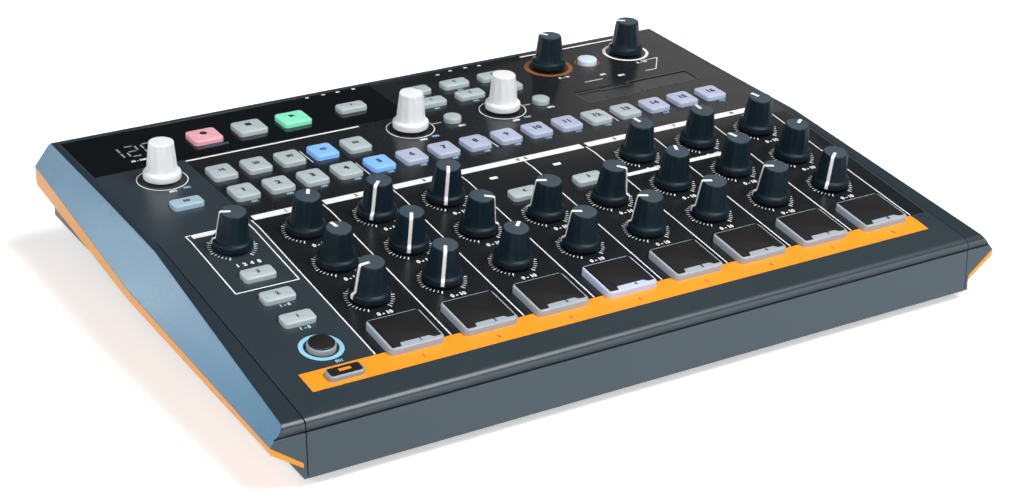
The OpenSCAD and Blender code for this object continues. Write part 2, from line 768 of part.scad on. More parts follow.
// Keys: a cap that rises through its window, on a wider flange under the panel
module key(size, r, rise = key_rise) {
    translate([0, 0, flange_top]) linear_extrude(rise - flange_top) rounded(size, r);
    translate([0, 0, key_low]) linear_extrude(flange_t)
        rounded([size[0] + 2 * flange, size[1] + 2 * flange], r + flange);
}
module round_key(r, rise = key_rise) {
    translate([0, 0, flange_top]) cylinder(r = r, h = rise - flange_top);
    translate([0, 0, key_low]) cylinder(r = r + flange, h = flange_t);
}
module step_keys() {
    color(key_grey) for (k = [0:steps - 1]) on_rear(step_u(k), step_row) key(step_key, key_r);
}
module mode_keys() {
    color(key_grey) for (k = [0:modes - 1]) on_rear(step_u(k), mode_row) key(step_key, key_r);
}
module transport_keys() {
    color(key_grey) for (u = transport_u) on_rear(u, transport_row) key(transport_key, key_r);
}
module rear_function_keys() {
    color(key_grey) {
        for (p = wide_rear_keys) on_rear(p[0], p[1]) key(wide_key, key_r);
        for (p = round_keys) on_rear(p[0], p[1]) round_key(round_r);
        on_rear(lamp_key[0], lamp_key[1]) round_key(lamp_r);
    }
}
module front_function_keys() {
    color(key_grey) {
        for (p = wide_front_keys) on_front(p[0], p[1]) key(wide_key, key_r);
        on_front(colour_key[0], colour_key[1]) key(colour_size, key_r);
        on_front(shift_key[0], shift_key[1]) round_key(shift_r, shift_rise);
    }
}
module pad(k) {
    color("#3a3e43") on_front(column_u(k), pad_row) key(pad_size, pad_r, pad_rise);
}

// Dials: skirt, tapered grip, shaft, and a raised pointer line over the top and down the side
module dial_body(top, grip_low, grip_high, skirt) {
    rotate_extrude() polygon([[0, dial_gap], [skirt - 0.5, dial_gap], [skirt, dial_gap + 0.5],
        [skirt, dial_gap + 2.4], [skirt - 0.7, dial_gap + 3], [grip_low, dial_gap + 3.3],
        [grip_high, top - 0.5], [grip_high - 0.5, top], [0, top]]);
    translate([0, 0, shaft_low]) cylinder(r = shaft_r, h = dial_gap - shaft_low + 1);
}
module pointer(top, grip_low, grip_high) {
    fall = top - dial_gap - 3.8;
    lean = atan((grip_low - grip_high) / fall);
    translate([-pointer_w / 2, 1, top - 0.5]) cube([pointer_w, grip_high - 1, 0.7]);
    translate([-pointer_w / 2, grip_high, top - 0.5]) rotate([180 + lean, 0, 0])
        translate([0, -0.3, -0.5]) cube([pointer_w, 0.9, fall]);
}
module dial(rest) {
    color(dial_black) rotate([0, 0, -rest]) {
        dial_body(dial_top, grip_r, dial_top_r, skirt_r);
        pointer(dial_top, grip_r, dial_top_r);
    }
}
module encoder_cap() {
    color("#e9e7ea") dial_body(cap_top, grip_r, dial_top_r + 0.15, skirt_r + 0.05);
}
module voice_dial(k, row) {
    on_front(column_u(k), row_v(row)) dial(voice_rest[k][row]);
}

top_case();
bottom_case();
left_cheek();
right_cheek();
side_trims();
front_board();
rear_board();
jack_board();
rotary_controls();
key_mats();
rubber_feet();
case_screws();
display();
touch_strip();
midi_sockets();
audio_jacks();
usb_socket();
power_inlet();
power_rocker();
step_keys();
mode_keys();
transport_keys();
rear_function_keys();
front_function_keys();
pad(0);  // pad_1
pad(1);  // pad_2
pad(2);  // pad_3
pad(3);  // pad_4
pad(4);  // pad_5
pad(5);  // pad_6
pad(6);  // pad_7
pad(7);  // pad_8
on_front(left_u, row_v(2)) dial(metronome_rest);  // metronome_dial
voice_dial(0, 2);  // dial_1_back
voice_dial(0, 1);  // dial_1_middle
voice_dial(0, 0);  // dial_1_front
voice_dial(1, 2);  // dial_2_back
voice_dial(1, 1);  // dial_2_middle
voice_dial(1, 0);  // dial_2_front
voice_dial(2, 2);  // dial_3_back
voice_dial(2, 1);  // dial_3_middle
voice_dial(2, 0);  // dial_3_front
voice_dial(3, 1);  // dial_4_middle
voice_dial(3, 0);  // dial_4_front
voice_dial(4, 1);  // dial_5_middle
voice_dial(4, 0);  // dial_5_front
voice_dial(5, 2);  // dial_6_back
voice_dial(5, 1);  // dial_6_middle
voice_dial(5, 0);  // dial_6_front
voice_dial(6, 2);  // dial_7_back
voice_dial(6, 1);  // dial_7_middle
voice_dial(6, 0);  // dial_7_front
voice_dial(7, 2);  // dial_8_back
voice_dial(7, 1);  // dial_8_middle
voice_dial(7, 0);  // dial_8_front
on_rear(distortion_u, rear_dial_row) dial(distortion_rest);  // distortion_dial
on_rear(volume_u, rear_dial_row) dial(volume_rest);  // volume_dial
on_rear(left_u, encoder_row) encoder_cap();  // tempo_encoder
on_rear(swing_u, encoder_row) encoder_cap();  // swing_encoder
on_rear(random_u, encoder_row) encoder_cap();  // random_encoder
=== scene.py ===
# %% [markdown]
# # Dressing a tabletop drum machine
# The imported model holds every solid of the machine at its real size. This lesson gives those
# solids their looks: caps, printed inks, paint, lamps and sockets, a floor, lights and a camera.
# The frame is loaded first, because every piece sits where its solid is and moves with it.

import json
import math

import bmesh
import bpy
from mathutils import Matrix, Vector


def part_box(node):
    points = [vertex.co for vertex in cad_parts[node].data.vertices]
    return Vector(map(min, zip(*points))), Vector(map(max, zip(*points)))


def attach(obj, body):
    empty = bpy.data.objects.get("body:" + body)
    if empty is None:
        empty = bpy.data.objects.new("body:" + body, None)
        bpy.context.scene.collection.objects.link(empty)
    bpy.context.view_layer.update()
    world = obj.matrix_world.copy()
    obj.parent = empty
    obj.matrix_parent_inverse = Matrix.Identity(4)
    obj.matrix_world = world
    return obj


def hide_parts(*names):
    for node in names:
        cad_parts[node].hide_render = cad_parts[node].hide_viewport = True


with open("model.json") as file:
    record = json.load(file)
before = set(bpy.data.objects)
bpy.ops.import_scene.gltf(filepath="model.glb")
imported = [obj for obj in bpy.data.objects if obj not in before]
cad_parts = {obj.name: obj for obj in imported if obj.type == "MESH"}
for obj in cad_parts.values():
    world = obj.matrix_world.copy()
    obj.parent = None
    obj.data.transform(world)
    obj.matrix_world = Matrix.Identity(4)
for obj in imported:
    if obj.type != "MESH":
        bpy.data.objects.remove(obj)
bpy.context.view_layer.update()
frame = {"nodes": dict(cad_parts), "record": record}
nodes = frame["nodes"]
joints = {joint["child"]: joint for joint in frame["record"]["behaviour"]["joints"]}

# %% [markdown]
# ## Places on the two panels
# The control panel is bent: the front half slopes towards the player and the rear half is
# almost level. A place on it is easiest to say as u to the right, v to the back along the
# panel and w out of it, in millimetres. Each dial's axis stands square on its panel, so a dial
# whose place is known gives the whole panel's matrix. Places across come from the frame, and
# the v places of the rows are repeated from the part's own source.

# %% Panel matrices
MM = 0.001
LEFT_U = joints["tempo_encoder"]["pos_m"][0] / MM
COLUMN_U = [joints[f"dial_{k}_front"]["pos_m"][0] / MM for k in range(1, 9)]
PITCH = COLUMN_U[1] - COLUMN_U[0]
ROW_V = [32.7, 57.7, 82.7]
FRONT_LEN = 91
ENCODER_V = 55
REAR_DIAL_V = 86.6
STEP_V = 29
MODE_V = 49
TRANSPORT_V = 83.5


def panel(node, v):
    """Matrix of a panel, from the axis and the place of one control on it."""
    out = Vector(joints[node]["axis"]).normalized()
    right = Vector((1, 0, 0))
    back = out.cross(right)
    place = Vector(joints[node]["pos_m"])
    origin = place - right * place.x - back * v * MM
    turn = Matrix((right, back, out)).transposed().to_4x4()
    return Matrix.Translation(origin) @ turn @ Matrix.Scale(MM, 4)


FRONT = panel("metronome_dial", ROW_V[2])
REAR = panel("tempo_encoder", ENCODER_V)
print("columns every", round(PITCH, 2), "mm from", round(COLUMN_U[0], 2))

# %% [markdown]
# ## Shader sums as Python
# A finish is a small graph of nodes. Wrapping a socket in a class that can be added, subtracted
# and multiplied lets the graph be written as a formula. Numbers that stay the same all over go
# straight on the shader's own sockets, and only what changes over the surface is linked.

# %% Sockets in formulas
class Link:
    """An output socket that can stand in a sum, each sign of which becomes a Math node."""

    def __init__(self, graph, socket):
        self.graph = graph
        self.socket = socket

    def math(self, operation, first, second):
        """Adds a Math node for two links or numbers."""
        return self.graph.add("ShaderNodeMath", {"operation": operation}, {0: first, 1: second})

    def __add__(self, other):
        return self.math("ADD", self, other)

    def __mul__(self, other):
        return self.math("MULTIPLY", self, other)

    def __sub__(self, other):
        return self.math("SUBTRACT", self, other)

    def __rsub__(self, other):
        return self.math("SUBTRACT", other, self)

    __radd__ = __add__
    __rmul__ = __mul__


print("sockets can be written into formulas")

# %% [markdown]
# ## One way to add a node
# A finish and the sky are both graphs that end in an output node. A single method adds any
# other node: it takes the node's type, its settings, such as the stops of a colour ramp, and
# the values or links of its sockets.

# %% Graph helper
class Graph:
    """A tree of nodes that ends in one output node."""

    def __init__(self, tree, end):
        self.tree = tree
        self.tree.nodes.clear()
        self.end = self.tree.nodes.new(end)

    def show(self, link):
        """Makes a link the one that reaches the output node."""
        self.tree.links.new(link.socket, self.end.inputs[0])

    def add(self, kind, settings=None, values=None, output=0):
        """Adds a node and returns one of its outputs."""
        node = self.tree.nodes.new(kind)
        for name, value in (settings or {}).items():
            if name == "stops":
                for stop, (place, colour) in zip(node.color_ramp.elements, value):
                    stop.position, stop.color = place, colour
            else:
                setattr(node, name, value)
        for name, value in (values or {}).items():
            if isinstance(value, Link):
                self.tree.links.new(value.socket, node.inputs[name])
            else:
                node.inputs[name].default_value = value
        return Link(self, node.outputs[output])


print("graphs of nodes can be built")

# %% [markdown]
# ## A finish under construction
# One Principled shader carries every finish. What is the same all over the surface is set on
# its sockets at once, and the methods are the patterns that come up again and again: a noise,
# a blend of two colours, a bump.

# %% Finish helper
class Finish(Graph):
    """A material under construction, with one Principled shader."""

    def __init__(self, name, **constants):
        self.material = bpy.data.materials.new(name)
        self.material.use_nodes = True
        super().__init__(self.material.node_tree, "ShaderNodeOutputMaterial")
        self.shader = self.tree.nodes.new("ShaderNodeBsdfPrincipled")
        self.surface = Link(self, self.shader.outputs[0])
        self.show(self.surface)
        for socket, value in constants.items():
            self.shader.inputs[socket.replace("_", " ")].default_value = value

    def feed(self, socket, link):
        """Lets a link drive one of the shader's sockets."""
        self.tree.links.new(link.socket, self.shader.inputs[socket])

    def place(self):
        """Object coordinates, which stay on the surface as the piece moves."""
        return self.add("ShaderNodeTexCoord", output="Object")

    def noise(self, size_mm, detail):
        """A noise from 0 to 1 with patches of a size in millimetres."""
        return self.add("ShaderNodeTexNoise", None, {"Vector": self.place(),
                        "Scale": 1 / (size_mm * MM), "Detail": detail})

    def blend(self, amount, first, second):
        """A mix of two colours, the first where the amount is 0."""
        return self.add("ShaderNodeMix", {"data_type": "RGBA"},
                        {"Factor": amount, 6: first, 7: second}, output=2)

    def bump(self, height, depth_mm):
        """Raises the surface by a height pattern that is some millimetres deep."""
        self.feed("Normal", self.add("ShaderNodeBump", None, {"Height": height,
                  "Distance": depth_mm * MM, "Strength": 1.0}))


print("finishes can be built")

# %% [markdown]
# ## Colours as on a paint card
# A colour is easiest to write as on a paint card, in six hexadecimal digits. Shaders count in
# linear light, so the digits are brought to linear values first.

# %% Paint card colours
def tint(code, gain=1.0):
    """A colour written as on a paint card, brought to the linear values that shaders use."""
    parts = [int(code[i:i + 2], 16) / 255 for i in (1, 3, 5)]
    linear = [p / 12.92 if p < 0.04045 else ((p + 0.055) / 1.055) ** 2.4 for p in parts]
    return [gain * p for p in linear] + [1.0]


print("middle grey is", round(tint("#808080")[0], 3), "in linear light")

# %% [markdown]
# ## Moulded, painted and printed finishes
# Almost everything on this machine is moulded plastic or paint. What tells them apart is how
# much the colour drifts, how coarse the grain is and how sharp the gloss. One function with
# those three as arguments makes the whole family.

# %% One function for plastics, paints and inks
DRIFT_SIZE = 35


def plastic(name, code, rough, grain=0.5, depth=0.006, drift=0.08, **constants):
    """Plastic with a slow drift of colour, a fine grain and uneven gloss (sizes in mm)."""
    finish = Finish(name, **constants)
    broad = finish.noise(DRIFT_SIZE, 3.0)
    fine = finish.noise(grain, 4.0)
    finish.feed("Base Color", finish.blend(broad, tint(code, 1 - drift), tint(code, 1 + drift)))
    finish.feed("Roughness", rough - 0.05 + 0.07 * broad + 0.04 * fine)
    finish.bump(fine, depth)
    return finish.material


print("colour drifts in patches of", DRIFT_SIZE, "mm")

# %% [markdown]
# ## Colours of the keys
# The key caps are pale, slightly clear plastic over small lamps. A lit cap is tinted by its
# lamp and gives off a little light. The glow is the same all over, so it goes straight on the
# shader's own sockets.

# %% Key colours
key_finishes = {
    "plain": plastic("key_grey", "#b0bcbf", 0.36),
    "pale": plastic("key_pale_blue", "#a0bccb", 0.36),
    "lilac": plastic("key_lilac", "#aeb6cc", 0.36),
    "blue": plastic("key_lit_blue", "#7fb0e2", 0.36),
    "pink": plastic("key_lit_pink", "#dca6b0", 0.36),
    "green": plastic("key_lit_green", "#85dcbc", 0.36),
    "lamp": plastic("key_lamp_white", "#cfe2f4", 0.3, drift=0.03),
    "clear": plastic("key_clear_grey", "#8f989d", 0.35),
    "black": plastic("key_black", "#1b1a1b", 0.4),
    "amber": plastic("key_amber", "#e8912a", 0.4),
}
key_glow = {"blue": ("#6fa8ff", 0.25), "pink": ("#ff8f9f", 0.12), "green": ("#5fffc0", 0.15),
            "lilac": ("#a8b4ee", 0.05)}
for colour, (code, strength) in key_glow.items():
    shader = key_finishes[colour].node_tree.nodes["Principled BSDF"]
    shader.inputs["Emission Color"].default_value = tint(code)
    shader.inputs["Emission Strength"].default_value = strength
print(len(key_finishes), "key colours, of which", len(key_glow), "glow")

# %% [markdown]
# ## Paints, plastics and inks
# The case is painted slate with a fine grain, and the control panel is darker and glossier.
# The dials are nearly black plastic with little gloss, the encoders are white. The inks are
# matt and lie so thin that they hardly have a grain.

# %% Paints, plastics and inks
case_paint = plastic("case_paint", "#2d373e", 0.34, grain=0.35, depth=0.004)
panel_paint = plastic("panel_paint", "#1a1d20", 0.26, grain=0.5, depth=0.007)
# The upright front gets a lighter slate than the case: painted light, for the light falling on it
# from the front.
front_face_painted_light = plastic("front_face_painted_light", "#3f4d55", 0.4, grain=0.35, depth=0.004,
                     Specular_IOR_Level=0.3)
cheek_top_paint = plastic("cheek_top_paint", "#273138", 0.34, grain=0.35, depth=0.004)
# The cheeks' slanted sides are a lighter steel blue than their tops: a painted reflection of the
# bright surroundings.
cheek_side_painted_reflection = plastic("cheek_side_painted_reflection", "#497695", 0.28, grain=0.35, depth=0.004)
orange_trim = plastic("orange_trim", "#dc9024", 0.4, grain=0.6, depth=0.003, drift=0.04)
black_base = plastic("black_base", "#17191b", 0.55, grain=0.9, depth=0.03)
dial_plastic = plastic("dial_plastic", "#0e2029", 0.42, grain=0.3, depth=0.004,
                       Specular_IOR_Level=0.2)
# The dials' flat tops get a lighter blue-grey than their bodies: painted light, where light from
# above falls on them.
dial_top_painted_light = plastic("dial_top_painted_light", "#3a4852", 0.5, grain=0.3, depth=0.004)
encoder_plastic = plastic("encoder_plastic", "#e8eaec", 0.4, grain=0.3, depth=0.004,
                          drift=0.03)
pad_body = plastic("pad_body", "#9fa8b2", 0.4, grain=0.8)
pad_top = plastic("pad_top", "#1d1b1b", 0.5, grain=0.6, depth=0.01,
                  Specular_IOR_Level=0.25)
pad_lit = plastic("pad_lit_body", "#bcc6e4", 0.4, grain=0.8)
socket_black = plastic("socket_black", "#121314", 0.4)
rocker_black = plastic("rocker_black", "#1b1d20", 0.3)
lens_black = plastic("lens_black", "#0d1013", 0.12, grain=4, depth=0.0008)
touch_film = plastic("touch_film", "#1b2126", 0.2, grain=4, depth=0.0008)
silicone = plastic("silicone", "#b9bcbf", 0.55, grain=0.7)
foot_rubber = plastic("foot_rubber", "#0f1011", 0.8, grain=0.5, depth=0.03)
white_ink = plastic("white_ink", "#eeeeec", 0.5, grain=0.2, depth=0.001, drift=0.02)
dark_ink = plastic("dark_ink", "#20242a", 0.5, grain=0.2, depth=0.001, drift=0.03)
orange_ink = plastic("orange_ink", "#f8971b", 0.45, grain=0.3, depth=0.001, drift=0.03)
rust_ink = plastic("rust_ink", "#a8702f", 0.5, grain=0.2, depth=0.001, drift=0.03)
blue_ink = plastic("blue_ink", "#8fc6dc", 0.5, grain=0.2, depth=0.001, drift=0.03)
ember_ink = plastic("ember_ink", "#96562a", 0.45, grain=0.2, depth=0.001, drift=0.06)
dim_ink = plastic("dim_ink", "#4b4b4a", 0.45, grain=0.2, depth=0.001, drift=0.03)
teal_ink = plastic("teal_ink", "#2d4a5a", 0.5, grain=0.2, depth=0.001, drift=0.03)
digit_ink = plastic("digit_ink", "#8b979a", 0.5, grain=0.2, depth=0.001, drift=0.02)
satin_metal = plastic("satin_metal", "#b4b6b8", 0.3, grain=0.25, Metallic=1.0)
dark_steel = plastic("dark_steel", "#5a5c5f", 0.35, grain=0.25, Metallic=1.0)
print("made", len(bpy.data.materials), "finishes")

# %% [markdown]
# ## A green circuit board
# The boards lie inside, under the panel. Their solder mask is a glossy green over copper
# tracks, and the tracks show as slightly lighter, raised lines. A brick texture with thin
# joints gives such a grid of straight tracks.

# %% Circuit board
def board_finish():
    finish = Finish("circuit_board", Coat_Weight=0.3)
    tracks = finish.add("ShaderNodeTexBrick", None, {"Vector": finish.place(), "Scale": 90.0,
                        "Mortar Size": 0.03}, output="Fac")
    finish.feed("Base Color", finish.blend(tracks, tint("#12402a"), tint("#2c7a4c")))
    finish.feed("Roughness", 0.32 - 0.08 * tracks)
    finish.bump(tracks, 0.03)
    return finish.material


board_green = board_finish()
print("board finish:", board_green.name)

# %% [markdown]
# ## From a sketch to a finished piece
# A piece is drawn around zero in millimetres, then placed by a matrix, so that its object
# stays at the origin with its place in its mesh. Small shapes are collected into one bmesh
# with a material for each, which keeps one row of keys one piece.

# %% Collect and finish pieces
def add_shape(target, shape, matrix=Matrix(), material=None):
    """Moves a shape into place and adds it to the bmesh of its piece."""
    shape.transform(matrix)
    if material is not None:
        for face in shape.faces:
            face.material_index = material
    carrier = bpy.data.meshes.new("carrier")
    shape.to_mesh(carrier)
    shape.free()
    target.from_mesh(carrier)
    bpy.data.meshes.remove(carrier)


def finish_piece(name, shape, materials, body, replaced=(), smooth_deg=40):
    """Makes the object, sets its finish, ties it to a body and hides the nodes it stands for."""
    bmesh.ops.recalc_face_normals(shape, faces=shape.faces)
    mesh = bpy.data.meshes.new(name)
    shape.to_mesh(mesh)
    shape.free()
    piece = bpy.data.objects.new(name, mesh)
    bpy.context.collection.objects.link(piece)
    for material in materials:
        mesh.materials.append(material)
    mesh.shade_smooth()
    mesh.set_sharp_from_angle(angle=math.radians(smooth_deg))
    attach(piece, body)
    if replaced:
        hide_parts(*replaced)
    print(name, len(mesh.polygons), "faces on", body)
    return piece


print("pieces can be collected and finished")

# %% [markdown]
# ## Blocks over an outline
# Keys, pads, printed marks and segments are all blocks: an outline, extruded upwards, with its
# upright edges or its top rim rounded. Drawing them by one function keeps them closed, with
# their faces outwards.

# %% Blocks with rounded edges
def slab(outline, low, high, corner=0.0, rounds=4):
    """A closed block over an outline of (u, v) points, its upright edges rounded."""
    shape = bmesh.new()
    ring = [shape.verts.new((u, v, low)) for u, v in outline]
    shape.faces.new(ring)
    if corner:
        bmesh.ops.bevel(shape, geom=ring, offset=corner, segments=rounds, profile=0.5,
                        affect="VERTICES", material=-1)
    grown = bmesh.ops.extrude_face_region(shape, geom=shape.faces[:])["geom"]
    top = [item for item in grown if isinstance(item, bmesh.types.BMVert)]
    bmesh.ops.translate(shape, verts=top, vec=(0, 0, high - low))
    bmesh.ops.recalc_face_normals(shape, faces=shape.faces)
    return shape


def rectangle(u, v, width, depth):
    """Outline of a rectangle by its middle."""
    x, y = width / 2, depth / 2
    return [(u - x, v - y), (u + x, v - y), (u + x, v + y), (u - x, v + y)]


def soften_top(shape, high, offset, rounds=3):
    """Rounds the edges round the top of a block."""
    rim = [e for e in shape.edges if all(v.co.z > high - 1e-4 for v in e.verts)]
    bmesh.ops.bevel(shape, geom=rim, offset=offset, segments=rounds, profile=0.5,
                    affect="EDGES", material=-1)


sample = slab(rectangle(0, 0, 1, 1), 0, 1)
print("a plain block has", len(sample.faces), "faces")
sample.free()

# %% [markdown]
# ## The case, its cheeks and its trim
# The solids of the case have the right outline, but their edges are razor sharp. Real edges
# catch a thin line of light. A CAD mesh is loose triangles and is left as it is, so a merged
# copy takes its place: flat triangles are dissolved into clean faces, and a Bevel modifier
# rounds what is sharper than its angle limit.

# %% Merged copies with soft edges
def merged_copy(node):
    """A bmesh of a node's mesh with its doubles merged and its flat faces joined."""
    shape = bmesh.new()
    shape.from_mesh(nodes[node].data)
    bmesh.ops.remove_doubles(shape, verts=shape.verts, dist=1e-6)
    bmesh.ops.dissolve_limit(shape, angle_limit=math.radians(0.5), verts=shape.verts,
                             edges=shape.edges)
    return shape


def soften_edges(piece, width_mm, segments=2, angle=35):
    """A live bevel on the edges that are sharper than an angle."""
    bevel = piece.modifiers.new("soft_edges", "BEVEL")
    bevel.width = width_mm * MM
    bevel.segments = segments
    bevel.limit_method = "ANGLE"
    bevel.angle_limit = math.radians(angle)
    bevel.harden_normals = False


print("edges sharper than 35 degrees will be softened")

# %% [markdown]
# ## The roll along the front edge
# The panel ends in a roll that hangs over the upright front. Its lower side gets painted
# shade: its colour is lighter just under the roll's highlight, a painted fade, and goes dark
# towards the groove at its foot. The height in the piece's own coordinates drives that change,
# because the roll runs level from side to side.

# %% Painted shade on the roll
CASE_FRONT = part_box("top_case")[0].y
ROLL_REACH = 8 * MM
ROLL_R = 3.1
ROLL_SETBACK = 21.5
ROLL_Z = (FRONT @ Vector((0, -ROLL_SETBACK, -ROLL_R))).z
ROLL_LOW = ROLL_Z - 0.4 * ROLL_R * MM
ROLL_HIGH = ROLL_Z + 0.7 * ROLL_R * MM


def roll_finish():
    """Painted shade on the roll's lower side: lighter under its highlight, dark towards the
    groove.
    """
    finish = Finish("painted_roll_shade", Specular_IOR_Level=0.2, Roughness=0.4)
    height = finish.add("ShaderNodeSeparateXYZ", None, {0: finish.place()}, output=2)
    rise = finish.add("ShaderNodeMapRange", None, {"Value": height, "From Min": ROLL_LOW,
                      "From Max": ROLL_HIGH})
    # Painted shade: dark at the groove, with a lighter painted fade under the highlight at the
    # top.
    finish.feed("Base Color", finish.blend(rise, tint("#182026"), tint("#58646b")))
    finish.bump(finish.noise(0.35, 4.0), 0.004)
    return finish.material


def is_roll_side(face):
    """Whether a face is the lower side of the roll, above the upright front."""
    middle = face.calc_center_median()
    ahead = middle.y < CASE_FRONT + ROLL_REACH
    return ahead and face.normal.y < -0.86 and ROLL_LOW - 1 * MM < middle.z < ROLL_HIGH


painted_roll_shade = roll_finish()
print("roll painted from", round(ROLL_LOW / MM, 1), "to", round(ROLL_HIGH / MM, 1), "mm high")

# %% [markdown]
# ## Which paint goes where
# The control panel is darker from the first column line to the right edge, and from the pad
# strip back to the rear edge. A face picks its paint by the way it looks and where it lies.
# The upright front gets a lighter paint as painted light, the cheeks' slanted sides a steel blue
# as painted reflection, and the roll's lower side its painted shade.

# %% Choice of paint
TOP, FRONT_FACE, SIDE, ROLL = range(4)
DARK_PANEL = SIDE
DARK_U = (COLUMN_U[0] - PITCH / 2, 142.4)
DARK_BACK = 104.2
FACE_LEAST = 4 * MM
DARK_EDGES = [((DARK_U[0] * MM, 0, 0), (1, 0, 0)), ((DARK_U[1] * MM, 0, 0), (1, 0, 0)),
              (FRONT.translation, FRONT.col[1].to_3d().normalized()),
              (REAR @ Vector((0, DARK_BACK, 0)), REAR.col[1].to_3d().normalized())]


def in_dark_zone(face):
    """Whether a face of the case belongs to the dark part of the panel."""
    middle = face.calc_center_median()
    ahead = (middle - FRONT.translation).dot(FRONT.col[1].to_3d()) > 0
    behind = (middle - REAR @ Vector((0, DARK_BACK, 0))).dot(REAR.col[1].to_3d()) > 0
    inside = DARK_U[0] * MM < middle.x < DARK_U[1] * MM
    return face.normal.z > 0.9 and inside and ahead and not behind


def is_front_face(face):
    """Whether a face is the upright front, and not a narrow strip of the roll above it."""
    heights = [vert.co.z for vert in face.verts]
    return face.normal.y < -0.9 and max(heights) - min(heights) > FACE_LEAST


def paint_of(face, node):
    """The number of the paint that a face of the case or of a cheek gets."""
    # The upright front takes the lighter paint, which is painted light.
    if is_front_face(face):
        return FRONT_FACE
    # The roll's lower side takes its painted shade.
    if is_roll_side(face):
        return ROLL
    if node == "top_case":
        return DARK_PANEL if in_dark_zone(face) else TOP
    # The slanted sides of a cheek take the steel blue of painted reflection.
    return SIDE if abs(face.normal.x) > 0.5 and face.normal.z > 0.2 else TOP


print("dark panel from", round(DARK_U[0], 1), "to", DARK_U[1], "mm across")

# %% [markdown]
# ## The painted case
# Cutting the panel's faces along the four lines gives its dark part clean edges. The cheeks
# and the trim get a live bevel. The case does without one, because its roll is round already
# and its holes are hidden under caps.

# %% Case, cheeks and trim
CASE_SMOOTH_DEG = 30
case_paints = (case_paint, front_face_painted_light, panel_paint, painted_roll_shade)
cheek_paints = (cheek_top_paint, front_face_painted_light, cheek_side_painted_reflection, painted_roll_shade)
for node, paints, slot, edge in (("left_cheek", cheek_paints, "cheek_plastic", 0.5),
                                 ("right_cheek", cheek_paints, "cheek_plastic", 0.5),
                                 ("side_trims", (orange_trim,), "orange_plastic", 0.3),
                                 ("top_case", case_paints, "case_paint", 0.0)):
    shape = merged_copy(node)
    if node == "top_case":
        for place, normal in DARK_EDGES:
            bmesh.ops.bisect_plane(shape, geom=shape.verts[:] + shape.edges[:] + shape.faces[:],
                                   plane_co=place, plane_no=normal)
    for face in shape.faces:
        face.material_index = 0 if node == "side_trims" else paint_of(face, node)
    piece = finish_piece(node + ".dressed", shape, paints, "case", (node,),
                         CASE_SMOOTH_DEG)
    if edge:
        soften_edges(piece, edge)

# %% [markdown]
# ## Finishes of the solids that stay
# Boards, sockets, feet, screws and mats already have their real shape, so they only need a
# material in their slot.

# %% Finishes for CAD nodes
node_finishes = {
    "bottom_case": black_base, "front_board": board_green, "rear_board": board_green,
    "jack_board": board_green, "rotary_controls": satin_metal, "key_mats": silicone,
    "rubber_feet": foot_rubber, "case_screws": dark_steel, "display": lens_black,
    "touch_strip": touch_film, "midi_sockets": socket_black, "audio_jacks": socket_black,
    "usb_socket": satin_metal, "power_inlet": socket_black, "power_rocker": rocker_black,
}
for node, material in node_finishes.items():
    nodes[node].data.materials.clear()
    nodes[node].data.materials.append(material)
print("finished", len(node_finishes), "carried-over nodes")

# %% [markdown]
# ## Printed numbers
# The printing on the panel is a film of ink. Each mark is a closed slab a few hundredths of
# a millimetre proud, so it keeps its own colour and edge in any light. A number is made from
# a text curve, turned into a mesh before it is placed.

# %% Inks
INK_LOW = -0.03
INK_HIGH = 0.05
prints = {ink: bmesh.new() for ink in ("white", "dark", "orange", "rust", "blue",
                                       "teal", "digit", "ember", "dim")}
glyphs = {}


def glyph(text):
    """Mesh of a short text, one millimetre high at its size, centred, from z 0 to 1."""
    if text not in glyphs:
        curve = bpy.data.curves.new("glyph", "FONT")
        curve.body = text
        curve.size = 1.0
        curve.align_x = "CENTER"
        curve.align_y = "CENTER"
        curve.resolution_u = 2
        curve.extrude = 0.5
        curve.offset = 0.045
        holder = bpy.data.objects.new("glyph", curve)
        bpy.context.collection.objects.link(holder)
        bpy.context.view_layer.update()
        graph = bpy.context.evaluated_depsgraph_get()
        mesh = bpy.data.meshes.new_from_object(holder.evaluated_get(graph))
        bpy.data.objects.remove(holder)
        bpy.data.curves.remove(curve)
        glyphs[text] = mesh
    return glyphs[text]


print("inks:", ", ".join(prints))

# %% [markdown]
# ## Marks that can be printed
# Five kinds of marks make up all the printing: a number, a filled shape, a bar, a straight
# line and a ring. Each is added to the bmesh of its ink, on the panel that its matrix gives.

# %% Printed marks
def number(ink, frame_matrix, text, u, v, size, w=0.0):
    """Prints a number flat on a surface at height w."""
    shape = bmesh.new()
    shape.from_mesh(glyph(text))
    bmesh.ops.remove_doubles(shape, verts=shape.verts, dist=1e-5)
    height = INK_HIGH - INK_LOW
    place = Matrix.Translation((u, v, w + (INK_LOW + INK_HIGH) / 2))
    add_shape(prints[ink], shape, frame_matrix @ place @ Matrix.Diagonal((size, size, height, 1)))


def patch(ink, frame_matrix, outline, corner=0.0):
    """Prints a filled shape."""
    add_shape(prints[ink], slab(outline, INK_LOW, INK_HIGH, corner), frame_matrix)


def bar(ink, frame_matrix, u, v, width, depth, corner=0.0):
    """Prints a rectangle by its middle."""
    patch(ink, frame_matrix, rectangle(u, v, width, depth), corner)


def line(ink, frame_matrix, start, end, width):
    """Prints a straight line between two points."""
    a, b = Vector(start), Vector(end)
    side = (b - a).orthogonal().normalized() * width / 2
    patch(ink, frame_matrix, [tuple(p) for p in (a - side, b - side, b + side, a + side)])


def circle(ink, frame_matrix, u, v, radius, width, steps=48):
    """Prints a ring by its outer radius, as short pieces that meet."""
    turns = [math.radians(360 * i / steps) for i in range(steps + 1)]
    outer = [(u + radius * math.cos(t), v + radius * math.sin(t)) for t in turns]
    hole = radius - width
    inner = [(u + hole * math.cos(t), v + hole * math.sin(t)) for t in turns]
    for i in range(steps):
        patch(ink, frame_matrix, [outer[i], outer[i + 1], inner[i + 1], inner[i]])


